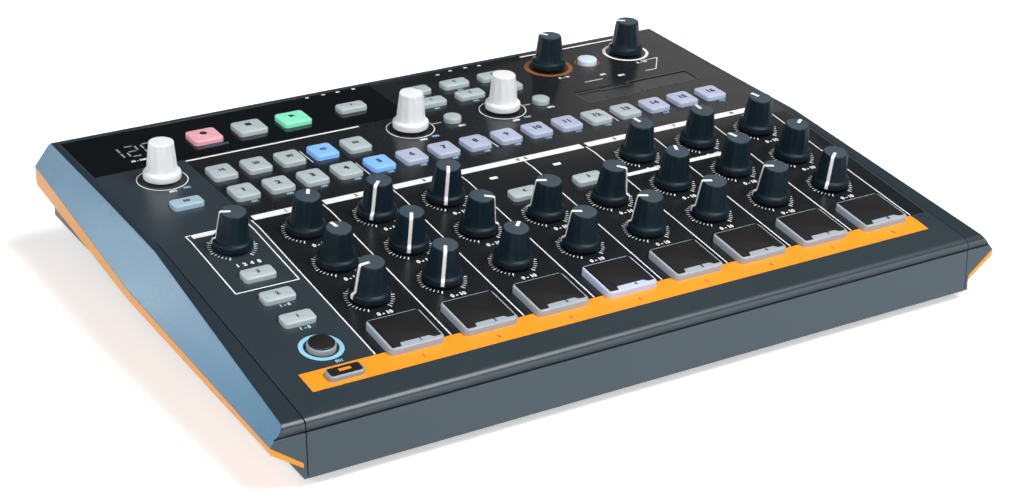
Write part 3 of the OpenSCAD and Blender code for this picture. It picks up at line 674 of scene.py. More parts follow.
print("ink is", round(INK_HIGH - INK_LOW, 2), "mm thick, partly sunk into the paint")

# %% [markdown]
# ## What is printed on the front panel
# White lines part the voice columns, with a header bar at the back of each. A box goes round
# the metronome controls. Every dial has a fan of ticks, and the orange strip runs under the
# pads.

# %% Columns, headers and the orange strip
LINE_W = 0.5
HEADER_V = 99.5
HEADER_GAP = 1.2
HEADER_DEPTH = 4.0
SEPARATOR_END = 98.0 - FRONT_LEN
ORANGE_STRIP = [(-134.5, -10.9), (135, -10.9), (135, 0), (-134.5, 0)]
COLUMN_EDGES = [COLUMN_U[0] - PITCH / 2 + k * PITCH for k in range(9)]

for u in COLUMN_EDGES:
    line("white", FRONT, (u, 0.3), (u, FRONT_LEN), LINE_W)
    line("white", REAR, (u, 0), (u, SEPARATOR_END), LINE_W)
for k in range(8):
    if k == 4:
        continue  # voices 4 and 5 share one header
    left = COLUMN_EDGES[k] + HEADER_GAP
    right = COLUMN_EDGES[5 if k == 3 else k + 1] - HEADER_GAP
    middle = (left + right) / 2
    bar("white", REAR, middle, HEADER_V - FRONT_LEN, right - left, HEADER_DEPTH)
    number("dark", REAR, "4   5" if k == 3 else str(k + 1), middle, HEADER_V - FRONT_LEN, 2.8,
           INK_HIGH)
patch("orange", FRONT, ORANGE_STRIP)
for k, u in enumerate(COLUMN_U):
    number("rust", FRONT, str(k + 1), u, -7.3, 2.6, INK_HIGH)
print("columns at", [round(u, 1) for u in COLUMN_EDGES])

# %% [markdown]
# ## The box round the metronome controls
# A thin frame with a short header holds the metronome's dial and key together. It crosses the
# bend, so its sides are drawn in two parts, one on each panel.

# %% Metronome box
BOX_U = (-132.4, -107.4)
BOX_FRONT = 53.4
BOX_BACK = 5.4
BOX_HEADER = (-123.5, BOX_BACK - 1.6, 14, 2.6)

for u in BOX_U:
    line("white", FRONT, (u, BOX_FRONT), (u, FRONT_LEN), LINE_W)
    line("white", REAR, (u, 0), (u, BOX_BACK), LINE_W)
line("white", FRONT, (BOX_U[0], BOX_FRONT), (BOX_U[1], BOX_FRONT), LINE_W)
line("white", REAR, (BOX_U[0], BOX_BACK), (BOX_U[1], BOX_BACK), LINE_W)
bar("white", REAR, *BOX_HEADER)
print("metronome box between", BOX_U)

# %% [markdown]
# ## Ticks and numbers round the dials
# A dial turns through 300 degrees, so 31 ticks stand 10 degrees apart, from lower left to
# lower right. In front of each dial stands its plain range of numbers. Two small lamps and
# two short bars lie between the rows.

# %% Dial scales
TICK_IN = 7.8
TICK_OUT = 9.1
TICK_STEP = 10
SWEEP = 300
SCALE_BELOW = 11.0
SMALL_LAMPS = [(-4.2, 89.4), (25.4, 89.4)]
SECTION_BARS = [(54.5, 15), (85.5, 17)]
SECTION_V = 71
LEFT_KEY_LABELS = (ROW_V[0] - 8.2, ROW_V[0] + 7.55)
voice_dials = [(k, row, f"dial_{k + 1}_{name}") for k in range(8)
               for row, name in enumerate(("front", "middle", "back"))
               if f"dial_{k + 1}_{name}" in joints]


def ticks(frame_matrix, u, v):
    """A fan of ticks round a dial, every fifth one longer and bolder."""
    for i in range(SWEEP // TICK_STEP + 1):
        turn = math.radians(-SWEEP / 2 + TICK_STEP * i)
        out = Vector((math.sin(turn), math.cos(turn)))
        middle = Vector((u, v))
        major = i % 5 == 0
        reach, width = (TICK_OUT + 0.4, 0.42) if major else (TICK_OUT, 0.28)
        line("white", frame_matrix, middle + out * TICK_IN, middle + out * reach, width)


for k, row, node in voice_dials:
    ticks(FRONT, COLUMN_U[k], ROW_V[row])
    number("white", FRONT, "0 - 10", COLUMN_U[k] + 0.4, ROW_V[row] - SCALE_BELOW, 2.6)
ticks(FRONT, LEFT_U, ROW_V[2])
number("white", FRONT, "1  2  4  8", LEFT_U + 0.5, ROW_V[2] - 12.7, 2.7)
for u, v in SMALL_LAMPS:
    bar("white", FRONT, u, v, 3.4, 1.7, 0.3)
for u, width in SECTION_BARS:
    bar("white", FRONT, u, SECTION_V, width, 2.3)
for v in LEFT_KEY_LABELS:
    number("blue", FRONT, "1 - 8", LEFT_U + 0.4, v, 2.3)
print("scales for", len(voice_dials) + 1, "dials")

# %% [markdown]
# ## Places on the rear panel
# The dials' places come from their joints. The keys of a block share one body and one joint,
# so their rows are laid out again here, from the first key and the pitch.

# %% Places of the rear dials and keys
SWING_U = joints["swing_encoder"]["pos_m"][0] / MM
RANDOM_U = joints["random_encoder"]["pos_m"][0] / MM
DISTORTION_U = joints["distortion_dial"]["pos_m"][0] / MM
VOLUME_U = joints["volume_dial"]["pos_m"][0] / MM
ROUND_KEYS = [(SWING_U + 19.9, ENCODER_V), (RANDOM_U + 19, ENCODER_V)]
STEP_FIRST = -97.7
STEP_PITCH = 14.75
STEP_U = [STEP_FIRST + i * STEP_PITCH for i in range(16)]
TRANSPORT_PITCH = 19.95
TRANSPORT_U = [COLUMN_U[0] + 0.7 + i * TRANSPORT_PITCH for i in range(3)]
BANK_PITCH = 18.95
BANK_U = [COLUMN_U[3] + 10.6 + i * BANK_PITCH for i in range(3)]
BANK_V = (TRANSPORT_V - 9.7, TRANSPORT_V + 3.5)
SAVE_KEY = (COLUMN_U[2] + 7.7, TRANSPORT_V + 0.4)
TAP_KEY = (LEFT_U - 1, STEP_V + 0.8)
LAMP_KEY = (COLUMN_U[6] + 6.2, REAR_DIAL_V - 2.6)
print("steps every", STEP_PITCH, "mm from", STEP_FIRST)

# %% [markdown]
# ## Rings and lines on the rear panel
# Rings go round the encoders and the two rear dials, a little wider than the skirts, so they
# stay visible. Thin dividers part the blocks of keys, and small numbers stand by the keys.

# %% Rings, rulings and key numbers
OUTPUT_BRACKET = [(119, 75), (128, 75), (120, 64.4), (114.3, 64.4)]
OUTPUT_LABELS = [("801", 101.9, 64.8, 2.4), ("802", 94.8, 69, 1.9)]
RULINGS = [((82.4, 65), (91.9, 65), 0.4), ((-105, 66.5), (-28, 66.5), 1.0),
           ((72.5, 102.4), (122, 102.4), 1.0)]
ENCODER_RING, VOLUME_RING = (10.1, 0.4), (10.4, 1.3)
DISTORTION_RING, LAMP_RING = (10.8, 2.0), (5.6, 0.7)
THIN_W = 0.35
DIVIDER_REACH = 6
DIVIDERS = [((STEP_U[i - 1] + STEP_U[i]) / 2, STEP_V) for i in (4, 8, 12)] + [(-60.8, MODE_V)]

for u in (LEFT_U, SWING_U, RANDOM_U):
    circle("white", REAR, u, ENCODER_V, *ENCODER_RING)
for (u, v), source in zip(ROUND_KEYS, (SWING_U, RANDOM_U)):
    line("white", REAR, (source + 10.3, v), (u - 5.2, v), THIN_W)
circle("white", REAR, VOLUME_U, REAR_DIAL_V, *VOLUME_RING)
circle("ember", REAR, DISTORTION_U, REAR_DIAL_V, *DISTORTION_RING)
circle("ember", REAR, *LAMP_KEY, *LAMP_RING)
bar("teal", REAR, TRANSPORT_U[0] + 1.6, TRANSPORT_V - 7.9, 11, 2.0)
for start, end in zip(OUTPUT_BRACKET, OUTPUT_BRACKET[1:]):
    line("white", REAR, start, end, 0.4)
for start, end, width in RULINGS:
    line("white", REAR, start, end, width)
for label in OUTPUT_LABELS:
    number("white", REAR, *label)
for u, v in DIVIDERS:
    line("white", REAR, (u, v - DIVIDER_REACH), (u, v + DIVIDER_REACH), THIN_W)
for i, u in enumerate(STEP_U):
    number("blue", REAR, str(101 + i), u + 1.2, STEP_V - 7.4, 2.0)
for i in range(5):
    number("blue", REAR, str(201 + i), STEP_U[i] - 1.2, MODE_V + 7.4, 2.0)
print("rear panel rings and lines printed")

# %% [markdown]
# ## Small labels
# The touch strip has a stepped outline with a number at each of its steps. Everything else
# gets a short plain number in front of it, white for what a control does and blue for what it
# does together with the shift key.

# %% Touch strip outline and small labels
SHIFT_LABEL = (LEFT_U + 2, 1.9)
TOUCH = [(71.5, 55.6), (84, 55.6), (84, 54.4), (99, 54.4), (99, 57), (130.6, 57), (130.6, 46.4),
         (101, 46.4), (101, 45.2), (71.5, 45.2), (71.5, 55.6)]
TOUCH_FIRST, TOUCH_PITCH = 74, 9
LAMP_DOTS = [(-33.3, 102.7), (-25.7, 102.7), (-18.8, 102.7), (-11.3, 102.7), (29.1, 100.6),
             (36.4, 102.3), (44.1, 102.4), (50.9, 101.9)]

for start, end in zip(TOUCH, TOUCH[1:]):
    line("dim", REAR, start, end, 0.6)
for i in range(1, 6):
    number("dim", REAR, str(i), TOUCH_FIRST + i * TOUCH_PITCH, 47.4, 1.9)
for u, v in LAMP_DOTS:
    bar("white", REAR, u, v, 1.7, 0.9, 0.3)
for i, (u, v) in enumerate(((LEFT_U, 44.6), (SWING_U, 44.2), (RANDOM_U, 44.2))):
    number("white", REAR, str(601 + i), u - 0.5, v - 1.2, 2.2)
    number("blue", REAR, str(701 + i), u + 5.5, v - 0.4, 2.2)
for i, (u, v) in enumerate(ROUND_KEYS):
    number("white", REAR, str(301 + i), u + 1, v - 6.6, 2.2)
for i, u in enumerate(BANK_U):
    for j, v in enumerate(BANK_V):
        number("blue", REAR, str(401 + i + 3 * j), u, v - 5.3, 1.9)
number("blue", FRONT, "501", *SHIFT_LABEL, 2.0)
for u in (DISTORTION_U, VOLUME_U):
    number("white", REAR, "0 - 10", u, REAR_DIAL_V - 13, 2.2)
print("labels by the keys printed")

# %% [markdown]
# ## Keys
# A key cap is a block with round upright edges. Its top rim is bevelled and its face is
# slightly crowned, so that it catches the light as a soft moulding does. The caps of one
# block ride together, as their solids do.

# %% Key caps
FLANGE_TOP = -2.7
KEY_RISE = 2.0
STEP_KEY = (10.2, 11.4)
TRANSPORT_KEY = (12.6, 11.4)
WIDE_KEY = (12.6, 6.8)
KEY_R = 1.6
CAP_ROUND = 0.55
CROWN = 0.15
CROWN_INSET = 1.2
key_colours = list(key_finishes)


def key_cap(size, radius, high):
    """A key cap round zero, from under the panel to its crowned top."""
    rim = high - CROWN
    cap = slab(rectangle(0, 0, *size), FLANGE_TOP, rim, radius, 5)
    soften_top(cap, rim, CAP_ROUND)
    face = max(cap.faces, key=lambda f: f.calc_center_median().z + f.calc_area() * 1e-3)
    bmesh.ops.inset_region(cap, faces=[face], thickness=CROWN_INSET, depth=0.0)
    bmesh.ops.translate(cap, verts=face.verts[:], vec=(0, 0, CROWN))
    return cap


def round_cap(radius, high):
    """A round key cap with a soft rim."""
    cap = bmesh.new()
    bmesh.ops.create_cone(cap, cap_ends=True, segments=40, radius1=radius, radius2=radius,
                          depth=high - FLANGE_TOP)
    bmesh.ops.translate(cap, verts=cap.verts, vec=(0, 0, (high + FLANGE_TOP) / 2))
    soften_top(cap, high, 0.6)
    return cap


print("caps rise", KEY_RISE, "mm above the panel")

# %% [markdown]
# ## Legends, and keys that move together
# A key's number is printed on its crown. The keys of one block are on one body, so their caps
# are collected into one piece, each with the material of its colour.

# %% Legends and blocks of keys
def key_mark(text, size, high=KEY_RISE, thick=0.08):
    """A number printed on the face of a key or a pad."""
    mark = bmesh.new()
    mark.from_mesh(glyph(text))
    bmesh.ops.remove_doubles(mark, verts=mark.verts, dist=1e-5)
    mark.transform(Matrix.Translation((0, 0, high)) @ Matrix.Diagonal((size, size, thick, 1)))
    return mark


def key_block(name, node, frame_matrix, caps):
    """One piece for a block of keys: (shape, u, v, colour, mark) for each of them."""
    block = bmesh.new()
    for shape, u, v, colour, mark in caps:
        place = frame_matrix @ Matrix.Translation((u, v, 0))
        add_shape(block, shape, place, key_colours.index(colour))
        if mark:
            add_shape(block, mark, place, len(key_colours))
    return finish_piece(name, block, [key_finishes[c] for c in key_colours] + [dark_ink], node,
                        (node,))


print("key colours:", ", ".join(key_colours))

# %% [markdown]
# ## Steps, modes and transport
# Sixteen step keys stand in one row with five mode keys behind them. Lit keys are blue or
# lilac. The three transport keys carry the usual plain signs: a dot, a square and a triangle.

# %% Step, mode and transport keys
STEP_COLOURS = ["plain"] * 4 + ["blue"] + ["lilac"] * 6 + ["plain"] * 2 + ["lilac"] * 3
key_block("step_key_caps", "step_keys", REAR,
          [(key_cap(STEP_KEY, KEY_R, KEY_RISE), STEP_U[i], STEP_V, STEP_COLOURS[i],
            key_mark(str(i + 1), 4.2)) for i in range(16)])
MODE_COLOURS = ["plain", "plain", "plain", "blue", "plain"]
key_block("mode_key_caps", "mode_keys", REAR,
          [(key_cap(STEP_KEY, KEY_R, KEY_RISE), STEP_U[i], MODE_V, MODE_COLOURS[i],
            key_mark(str(i + 1) + "0", 3.0)) for i in range(5)])


def dot_mark():
    """The round mark of the record key."""
    mark = bmesh.new()
    bmesh.ops.create_cone(mark, cap_ends=True, segments=24, radius1=1.5, radius2=1.5, depth=0.1)
    bmesh.ops.translate(mark, verts=mark.verts, vec=(0, 1.0, KEY_RISE))
    return mark


def flat_mark(outline):
    """A mark of straight sides on a key's face."""
    return slab(outline, KEY_RISE - 0.05, KEY_RISE + INK_HIGH)


STOP_MARK = rectangle(0, 1.0, 2.6, 2.6)
PLAY_MARK = [(-1.3, -0.4), (1.6, 1.0), (-1.3, 2.4)]
transport = zip(TRANSPORT_U, ("pink", "plain", "green"),
                (dot_mark(), flat_mark(STOP_MARK), flat_mark(PLAY_MARK)))
key_block("transport_key_caps", "transport_keys", REAR,
          [(key_cap(TRANSPORT_KEY, KEY_R, KEY_RISE), u, TRANSPORT_V, colour, mark)
           for u, colour, mark in transport])

# %% [markdown]
# ## Function keys
# The wide keys have the same cap with another outline, and the small round ones are short
# cylinders with a soft rim. One of them is lit from below.

# %% Rear function keys
ROUND_KEY_R = 3.8
LAMP_KEY_R = 4.4
rear_places = [(*TAP_KEY, "pale", "60"), (*SAVE_KEY, "plain", "1")]
rear_places += [(u, v, "plain", str(i + 1 + 3 * j)) for i, u in enumerate(BANK_U)
                for j, v in enumerate(BANK_V)]
rear_caps = [(key_cap(WIDE_KEY, KEY_R, KEY_RISE), u, v, colour, key_mark(text, 2.8))
             for u, v, colour, text in rear_places]
rear_caps += [(round_cap(ROUND_KEY_R, KEY_RISE), u, v, "plain", None) for u, v in ROUND_KEYS]
rear_caps += [(round_cap(LAMP_KEY_R, KEY_RISE), *LAMP_KEY, "lamp", None)]
key_block("rear_function_key_caps", "rear_function_keys", REAR, rear_caps)

# %% [markdown]
# ## Keys on the front panel
# Three wide keys stand on the left and two between the dials. The colour key at the front left
# is a clear key with a black plate and an amber window, and the shift key behind it is a black
# button in a clear ring.

# %% Front function keys
LEFT_KEY_PITCH = 15.75
WIDE_FRONT = [(LEFT_U, ROW_V[0] - 3 + i * LEFT_KEY_PITCH) for i in range(3)]
WIDE_FRONT += [(COLUMN_U[k], ROW_V[1] + 15.8) for k in (3, 4)]
SHIFT_KEY = (LEFT_U, 11.5)
SHIFT_RISE = KEY_RISE + 0.5
SHIFT_R, SHIFT_RING = 5.3, (8.0, 1.7)
BUTTON_R, BUTTON_HIGH = 4.7, 1.2
COLOUR_KEY = (LEFT_U, -5.8)
COLOUR_KEY_SIZE, COLOUR_PLATE = (13.6, 6), (12.0, 4.4)
AMBER_WINDOW = (0, 0.2, 4.6, 1.5)
front_caps = [(key_cap(WIDE_KEY, KEY_R, KEY_RISE), u, v, "plain", key_mark(str(i + 1), 2.8))
              for i, (u, v) in enumerate(WIDE_FRONT)]
front_caps += [(key_cap(COLOUR_KEY_SIZE, KEY_R, KEY_RISE), *COLOUR_KEY, "clear", None)]
front_caps += [(round_cap(SHIFT_R, SHIFT_RISE - BUTTON_HIGH / 2), *SHIFT_KEY, "clear", None)]
plate = slab(rectangle(0, 0, *COLOUR_PLATE), KEY_RISE - 0.4, KEY_RISE + 0.1, 0.8)
front_caps += [(plate, *COLOUR_KEY, "black", None)]
window = slab(rectangle(*AMBER_WINDOW), KEY_RISE, KEY_RISE + 0.16, 0.3)
front_caps += [(window, *COLOUR_KEY, "amber", None)]
button = bmesh.new()
bmesh.ops.create_cone(button, cap_ends=True, segments=40, radius1=BUTTON_R, radius2=BUTTON_R,
                      depth=BUTTON_HIGH)
bmesh.ops.translate(button, verts=button.verts, vec=(0, 0, SHIFT_RISE - BUTTON_HIGH / 2))
soften_top(button, SHIFT_RISE, 0.3)
front_caps += [(button, *SHIFT_KEY, "black", None)]
key_block("front_function_key_caps", "front_function_keys", FRONT, front_caps)
circle("blue", FRONT, *SHIFT_KEY, *SHIFT_RING)

# %% [markdown]
# ## Pads
# A pad is a translucent grey body with a black plate on it. The plate's front edge steps
# back for most of its width, which leaves a light lip for the pad's number.

# %% Pads
PAD_SIZE = (21.6, 20.0)
PAD_V = 6.7
PAD_RISE = 2.6
PLATE_LIFT = 0.12
PAD_NUMBER = (2.0, -7.8, 0)
LIT_PAD = 3
PLATE = [(-9.9, -9.0), (-6.2, -9.0), (-5.8, -6.8), (5.8, -6.8), (7.0, -8.2), (10.0, -8.2),
         (10.0, 9.3), (-9.9, 9.3)]


def pad(k):
    """One pad: body, plate and number."""
    body = slab(rectangle(0, 0, *PAD_SIZE), FLANGE_TOP, PAD_RISE, 2.0, 6)
    soften_top(body, PAD_RISE, 0.5)
    plate = slab(PLATE, PAD_RISE - 0.3, PAD_RISE + PLATE_LIFT, 0.5, 3)
    soften_top(plate, PAD_RISE + PLATE_LIFT, PLATE_LIFT, 2)
    whole = bmesh.new()
    place = FRONT @ Matrix.Translation((COLUMN_U[k], PAD_V, 0))
    add_shape(whole, body, place, 0)
    add_shape(whole, plate, place, 1)
    add_shape(whole, key_mark(str(k + 1), 2.2, PAD_RISE, 0.1),
              place @ Matrix.Translation(PAD_NUMBER), 2)
    body_finish = pad_lit if k == LIT_PAD else pad_body
    return finish_piece(f"pad_{k + 1}.dressed", whole, (body_finish, pad_top, dark_ink),
                        f"pad_{k + 1}", (f"pad_{k + 1}",))


for k in range(8):
    pad(k)

# %% [markdown]
# ## Dials
# A dial is a turned shape: a ring for a skirt, a tapered grip and a flat top. Spinning its
# profile makes it. Soft flutes come from moving the grip's points in and out as the angle
# goes round. All heights are in millimetres above the panel.

# %% Turned dials
DIAL_TOP = 15.1
CAP_TOP = 16.2
SKIRT_LOW = 1.0
DIAL_PROFILE = [(0, SKIRT_LOW), (7.15, SKIRT_LOW), (7.5, 1.2), (7.62, 1.7), (7.6, 2.9),
                (7.45, 3.45), (7.1, 3.8), (6.6, 3.95), (6.3, 4.1), (6.18, 4.5), (6.02, 6.2),
                (5.8, 8.4), (5.58, 10.4), (5.34, 12.4), (5.15, 13.9), (5.06, 14.55),
                (4.9, 14.9), (4.6, 15.06), (4.2, DIAL_TOP), (0, DIAL_TOP)]
FLUTES = 11
GRIP_LEAST = 3
FADE_LOW, FADE_HIGH = 1.5, 0.4


def turned(profile, steps=66):
    """Spins a profile of (radius, height) points about the upright axis."""
    shape = bmesh.new()
    points = [shape.verts.new((r, 0, z)) for r, z in profile]
    edges = [shape.edges.new(pair) for pair in zip(points, points[1:])]
    bmesh.ops.spin(shape, geom=points + edges, axis=(0, 0, 1), cent=(0, 0, 0),
                   angle=math.tau, steps=steps, use_merge=True)
    bmesh.ops.remove_doubles(shape, verts=shape.verts, dist=1e-4)
    bmesh.ops.recalc_face_normals(shape, faces=shape.faces)
    return shape


def flute(shape, low, high, depth):
    """Draws the grip in between its ridges, fading out below and above."""
    for vert in shape.verts:
        z = vert.co.z
        radius = math.hypot(vert.co.x, vert.co.y)
        if low < z < high and radius > GRIP_LEAST:
            fade = min(1.0, (z - low) / FADE_LOW, (high - z) / FADE_HIGH)
            wave = 0.5 - 0.5 * math.cos(FLUTES * math.atan2(vert.co.y, vert.co.x))
            factor = 1 - depth * fade * wave / radius
            vert.co.x *= factor
            vert.co.y *= factor


print("profile of", len(DIAL_PROFILE), "points, with", FLUTES, "flutes")

# %% [markdown]
# ## The pointer and the place of a dial
# The pointer is a painted strip that follows the dial's own profile from the middle of the top
# down to the skirt, so it lies on the surface everywhere. A dial stands where its joint is.

# %% Pointer and place of a dial
def pointer_strip(profile, width=1.3, lift=0.06, sunk=0.2):
    """A strip that follows a profile from the skirt up to the top, pointing to the back."""
    points = [Vector(p) for p in profile]
    sides = [(b - a).normalized() for a, b in zip(points, points[1:])]
    sides = [sides[0]] + [(a + b).normalized() for a, b in zip(sides, sides[1:])] + [sides[-1]]
    outward = [Vector((side.y, -side.x)) for side in sides]
    outer = [p + o * lift for p, o in zip(points, outward)]
    inner = [p - o * sunk for p, o in zip(points, outward)]
    shape = slab([tuple(p) for p in outer + inner[::-1]], -width / 2, width / 2)
    # The outline was drawn as (radius, height): turn it upright, with the radius to the back.
    shape.transform(Matrix(((0, 0, 1, 0), (1, 0, 0, 0), (0, 1, 0, 0), (0, 0, 0, 1))))
    return shape


def control_matrix(node):
    """Where a control stands at rest, in millimetres of its panel."""
    place = Vector(joints[node]["pos_m"])
    frame_matrix = FRONT if place.y < REAR.translation.y else REAR
    return frame_matrix @ Matrix.Translation(frame_matrix.inverted() @ place)


volume_place = control_matrix("volume_dial").translation / MM
print("volume dial stands at", [round(c, 1) for c in volume_place])

# %% [markdown]
# ## Dials and encoders at rest
# Each dial is turned to its rest angle, measured clockwise from the back, before it is placed,
# so the joint starts from there. The encoders are white, a little taller and have no pointer,
# because they turn without end.

# %% Dials and encoders
VOICE_REST = [[-95, -12, 30], [-150, -150, -135], [45, 125, -150], [-65, -68], [-65, 140],
              [-68, 20, -10], [-65, -20, 0], [-128, 55, -20]]
dial_rest = {node: VOICE_REST[k][row] for k, row, node in voice_dials}
dial_rest.update({"metronome_dial": -70, "distortion_dial": -35, "volume_dial": -55})
POINTER_PROFILE = DIAL_PROFILE[3:-1] + [(1.0, DIAL_TOP)]
BODY, CAP, POINTER = range(3)
CAP_LEAST = 14


def dial(node, rest):
    """One dial with its pointer, turned to where it rests."""
    whole = bmesh.new()
    place = control_matrix(node) @ Matrix.Rotation(math.radians(-rest), 4, "Z")
    body = turned(DIAL_PROFILE)
    flute(body, 4.3, DIAL_TOP - 0.4, 0.3)
    for face in body.faces:
        # The flat top takes the lighter finish, which is painted light.
        on_top = face.normal.z > 0.95 and face.calc_center_median().z > CAP_LEAST
        face.material_index = CAP if on_top else BODY
    add_shape(whole, body, place)
    add_shape(whole, pointer_strip(POINTER_PROFILE), place, POINTER)
    return finish_piece(node + ".cap", whole, (dial_plastic, dial_top_painted_light, white_ink), node, (node,))


def encoder(node):
    """A white cap with the same flutes and no pointer."""
    stretch = CAP_TOP / DIAL_TOP
    cap = turned([(r * 0.98, z * stretch) for r, z in DIAL_PROFILE])
    flute(cap, 4.6, CAP_TOP - 0.4, 0.35)
    whole = bmesh.new()
    add_shape(whole, cap, control_matrix(node))
    return finish_piece(node + ".cap", whole, (encoder_plastic,), node, (node,))


for node, rest in dial_rest.items():
    dial(node, rest)
for node in ("tempo_encoder", "swing_encoder", "random_encoder"):
    encoder(node)

# %% [markdown]
# ## The rear wall
# Every jack is held by a round nut on the outside of the wall, each of the two wide data
# sockets has a rim and two screws, and the round power socket has a rim. The places follow
# from the first and the last connector, because the gaps between their bodies are equal.

# %% Places of the connectors
REAR_LEN = 107.3
LARGE_JACKS, SMALL_JACKS, DATA_SOCKETS, POWER_SOCKET = (0, 1), range(2, 9), (9, 10), 12
BODIES = [15, 15] + [9] * 7 + [17, 17, 12, 10, 13]
WALL = REAR @ Matrix(((-1, 0, 0, 0), (0, 0, 1, REAR_LEN), (0, 1, 0, 0), (0, 0, 0, 1)))
first_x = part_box("audio_jacks")[0].x / MM
last_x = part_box("power_inlet")[1].x / MM
gap = (last_x - first_x - sum(BODIES)) / (len(BODIES) - 1)
JACK_X = [first_x + sum(BODIES[:i]) + i * gap + BODIES[i] / 2 for i in range(len(BODIES))]
jack_low, jack_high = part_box("midi_sockets")
jack_middle = (jack_low + jack_high) / 2
JACK_Z = (WALL.inverted() @ Vector((0, jack_high.y, jack_middle.z))).y
print("connectors at", [round(x, 1) for x in JACK_X])

# %% [markdown]
# ## Nuts, rims and screws
# The fittings are turned rings and heads, so the function that turns a dial makes them too.
# They stand only as far out of the wall as the solids of the connectors do, so they add
# nothing to the machine's depth.

# %% Nuts, rims and screws
NUT_HIGH = 0.29
NUT, RIM = range(2)
SCREW_REACH = 9.4


def ring(inner, outer, high=NUT_HIGH, edge=0.14):
    """A flat ring with softened edges."""
    return turned([(inner, 0), (outer, 0), (outer, high - edge), (outer - edge, high),
                   (inner + edge, high), (inner, high - edge), (inner, 0)], 48)


def screw_head(radius=1.25):
    """A low screw head with a bevelled rim."""
    return turned([(0, 0), (radius, 0), (radius, 0.15), (radius - 0.3, NUT_HIGH),
                   (0, NUT_HIGH)], 24)


fittings = bmesh.new()
for i, x in enumerate(JACK_X):
    place = WALL @ Matrix.Translation((-x, JACK_Z, 0))
    if i in LARGE_JACKS:
        add_shape(fittings, ring(3.5, 6.3), place, NUT)
    elif i in SMALL_JACKS:
        add_shape(fittings, ring(1.95, 3.9), place, NUT)
    elif i in DATA_SOCKETS:
        add_shape(fittings, ring(6.85, 7.9), place, RIM)
        for side in (-SCREW_REACH, SCREW_REACH):
            add_shape(fittings, screw_head(), place @ Matrix.Translation((side, 0, 0)), RIM)
    elif i == POWER_SOCKET:
        add_shape(fittings, ring(4.15, 5.2), place, RIM)
finish_piece("connector_nuts", fittings, (satin_metal, dark_steel), "case", ())

# %% [markdown]
# ## Numbers above the connectors
# Plain numbers stand above the connectors, counted from the left as seen from behind, and a
# thin line under them joins each group of the same kind.

# %% Numbers on the rear wall
LABEL_RISE = 9.2
GROUP_RISE = 6.6
for i, x in enumerate(JACK_X):
    number("white", WALL, str(i + 1), -x, JACK_Z + LABEL_RISE, 3.2)
for group in (LARGE_JACKS, SMALL_JACKS, DATA_SOCKETS):
    start = (3.5 - JACK_X[group[0]], JACK_Z + GROUP_RISE)
    end = (-3.5 - JACK_X[group[-1]], JACK_Z + GROUP_RISE)
    line("white", WALL, start, end, THIN_W)
print("numbered", len(JACK_X), "connectors")

# %% [markdown]
# ## Segment digits and the last prints
# The display shows a tempo as seven-segment digits behind the smoked lens. Segments are
# short slabs with round corners, given by the place of each in units of half a digit.

# %% Segment digits
SEGMENTS = {"a": (0, 2, True), "b": (1, 1, False), "c": (1, -1, False), "d": (0, -2, True),
            "e": (-1, -1, False), "f": (-1, 1, False), "g": (0, 0, True)}
DIGITS = {"0": "abcdef", "1": "bc", "2": "abged"}
DIGIT_W, DIGIT_H = 5.0, 4.9


def segment_digit(text, u, v):
    """Prints one digit by the segments that are lit, round its middle."""
    for name in DIGITS[text]:
        x, y, flat = SEGMENTS[name]
        size = (DIGIT_W - 1.6, 0.8) if flat else (0.8, DIGIT_H - 1.2)
        bar("digit", REAR, u + x * DIGIT_W / 2, v + y * DIGIT_H / 2, *size, 0.15)


for i, text in enumerate("120"):
    segment_digit(text, LEFT_U - 7.4 + i * 7.6, TRANSPORT_V + 1.2)
number("white", REAR, "60 - 240", LEFT_U - 1, TRANSPORT_V - 8, 1.9)
print("digits on the display")

# %% [markdown]
# ## One piece for each ink
# All marks of one ink were collected into one bmesh, as one pass of a printing screen lays
# down one colour. Each becomes a piece that rides with the case.

# %% Print pieces
ink_finishes = {"white": white_ink, "dark": dark_ink, "orange": orange_ink,
                "rust": rust_ink, "blue": blue_ink, "teal": teal_ink, "digit": digit_ink,
                "ember": ember_ink, "dim": dim_ink}
for ink, shape in prints.items():
    if shape.faces:
        finish_piece("print_" + ink, shape, (ink_finishes[ink],), "case", ())

# %% [markdown]
# ## Floor
# The floor is white and keeps the machine's soft shadow. It glows a little, but only for rays
# that come from the camera, from gloss or through glass, so it adds no light to the machine.

# %% Floor
FLOOR_GLOW = 0.45
FLOOR_REACH = 6.0


def floor_finish():
    """Matt white with a glow that only the camera, gloss and glass see."""
    finish = Finish("floor_white", Roughness=0.9, Specular_IOR_Level=0.1)
    finish.shader.inputs["Base Color"].default_value = tint("#f4f4f4")
    seen = finish.add("ShaderNodeLightPath", output="Is Camera Ray")
    for kind in ("Is Glossy Ray", "Is Transmission Ray"):
        seen = seen.math("MAXIMUM", seen, finish.add("ShaderNodeLightPath", output=kind))
    glow = finish.add("ShaderNodeEmission", None, {"Strength": FLOOR_GLOW * seen})
    finish.show(finish.add("ShaderNodeAddShader", None, {0: glow, 1: finish.surface}))
    return finish.material


floor_shape = bmesh.new()
bmesh.ops.create_grid(floor_shape, x_segments=2, y_segments=2, size=FLOOR_REACH)
floor_mesh = bpy.data.meshes.new("floor")
floor_shape.to_mesh(floor_mesh)
floor_shape.free()
floor = bpy.data.objects.new("floor", floor_mesh)
bpy.context.collection.objects.link(floor)
floor_mesh.materials.append(floor_finish())
print("floor", floor.dimensions.x, "m wide")

# %% [markdown]
# ## Sky
# The sky is white at the horizon and dark above it, which keeps the gloss deep. A direction's
# height runs from 0 at the horizon to 1 overhead, and a colour ramp turns it into a tone.

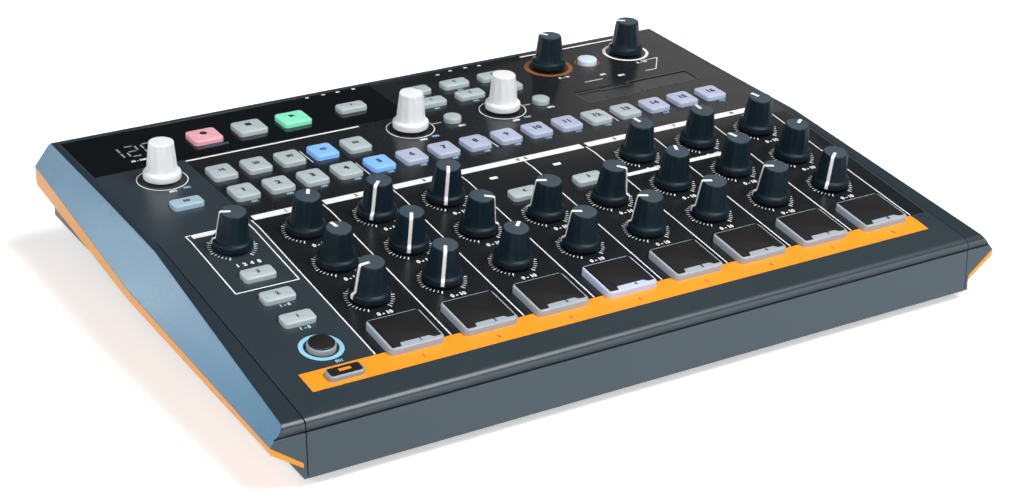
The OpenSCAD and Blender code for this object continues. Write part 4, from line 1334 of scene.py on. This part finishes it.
# %% Sky
SKY_STOPS = [(0.1, (1, 1, 1, 1)), (0.2, (0.03, 0.034, 0.038, 1))]
scene = bpy.context.scene
scene.world = bpy.data.worlds.new("studio")
scene.world.use_nodes = True
sky = Graph(scene.world.node_tree, "ShaderNodeOutputWorld")
direction = sky.add("ShaderNodeTexCoord", output="Generated")
height = sky.add("ShaderNodeSeparateXYZ", None, {0: direction}, output=2)
tone = sky.add("ShaderNodeValToRGB", {"stops": SKY_STOPS}, {0: height})
sky.show(sky.add("ShaderNodeBackground", None, {0: tone}))
print("sky fades from", SKY_STOPS[0][0], "to", SKY_STOPS[1][0])

# %% [markdown]
# ## Lamps
# Large soft panels light the machine from above, from the left and from the front. One more
# hangs where the roll mirrors it, and two weak ones behind the machine lie where the glossy
# panel and the left side mirror them.

# %% Lamps
CENTRE = (0, 0, 0.03)


def lamp(name, place, aim, size, watts, colour=(1, 1, 1)):
    """A large soft panel of light that looks at a point."""
    data = bpy.data.lights.new(name, "AREA")
    data.shape = "RECTANGLE"
    data.size, data.size_y = size
    data.energy = watts
    data.color = colour
    holder = bpy.data.objects.new(name, data)
    holder.location = place
    holder.rotation_euler = (Vector(aim) - Vector(place)).to_track_quat("-Z", "Y").to_euler()
    bpy.context.collection.objects.link(holder)
    print(name, "at", place)


lamp("overhead_panel", (0.35, -0.45, 1.5), CENTRE, (0.9, 0.7), 5)
lamp("roll_panel", (0.45, -0.55, 1.2), (0.35, -0.3, 0), (0.5, 0.9), 18)
lamp("left_panel", (-1.6, -0.1, 1.1), CENTRE, (1.0, 1.0), 10)
lamp("front_panel", (-1.1, -1.7, 0.9), CENTRE, (1.2, 0.8), 16)
lamp("back_left_panel", (-1.56, 2.05, 0.71), (-0.155, -0.03, 0.03), (0.3, 0.3), 4.8,
     (0.84, 0.95, 1))
lamp("back_right_panel", (1.7, 1.98, 1.0), (0.05, 0.05, 0.05), (0.5, 0.7), 0.75,
     (1, 0.93, 0.86))

# %% [markdown]
# ## Camera
# The camera looks down on the machine from the front left. A long lens keeps the far side
# nearly as large as the near side.

# %% Camera
CAMERA_PLACE = (-0.4191, -0.6699, 0.37726)
CAMERA_TURN = (65.0507, -1.1984, -31.6846)
LENS_MM = 76.72
LENS_SHIFT = 0.0008

camera_data = bpy.data.cameras.new("camera")
camera = bpy.data.objects.new("camera", camera_data)
camera.location = CAMERA_PLACE
camera.rotation_euler = [math.radians(a) for a in CAMERA_TURN]
camera_data.sensor_width = 36
camera_data.sensor_fit = "HORIZONTAL"
camera_data.lens = LENS_MM
camera_data.shift_x = LENS_SHIFT
bpy.context.collection.objects.link(camera)
scene.camera = camera
scene.view_settings.view_transform = "Standard"
print("camera", CAMERA_PLACE, "lens", LENS_MM)
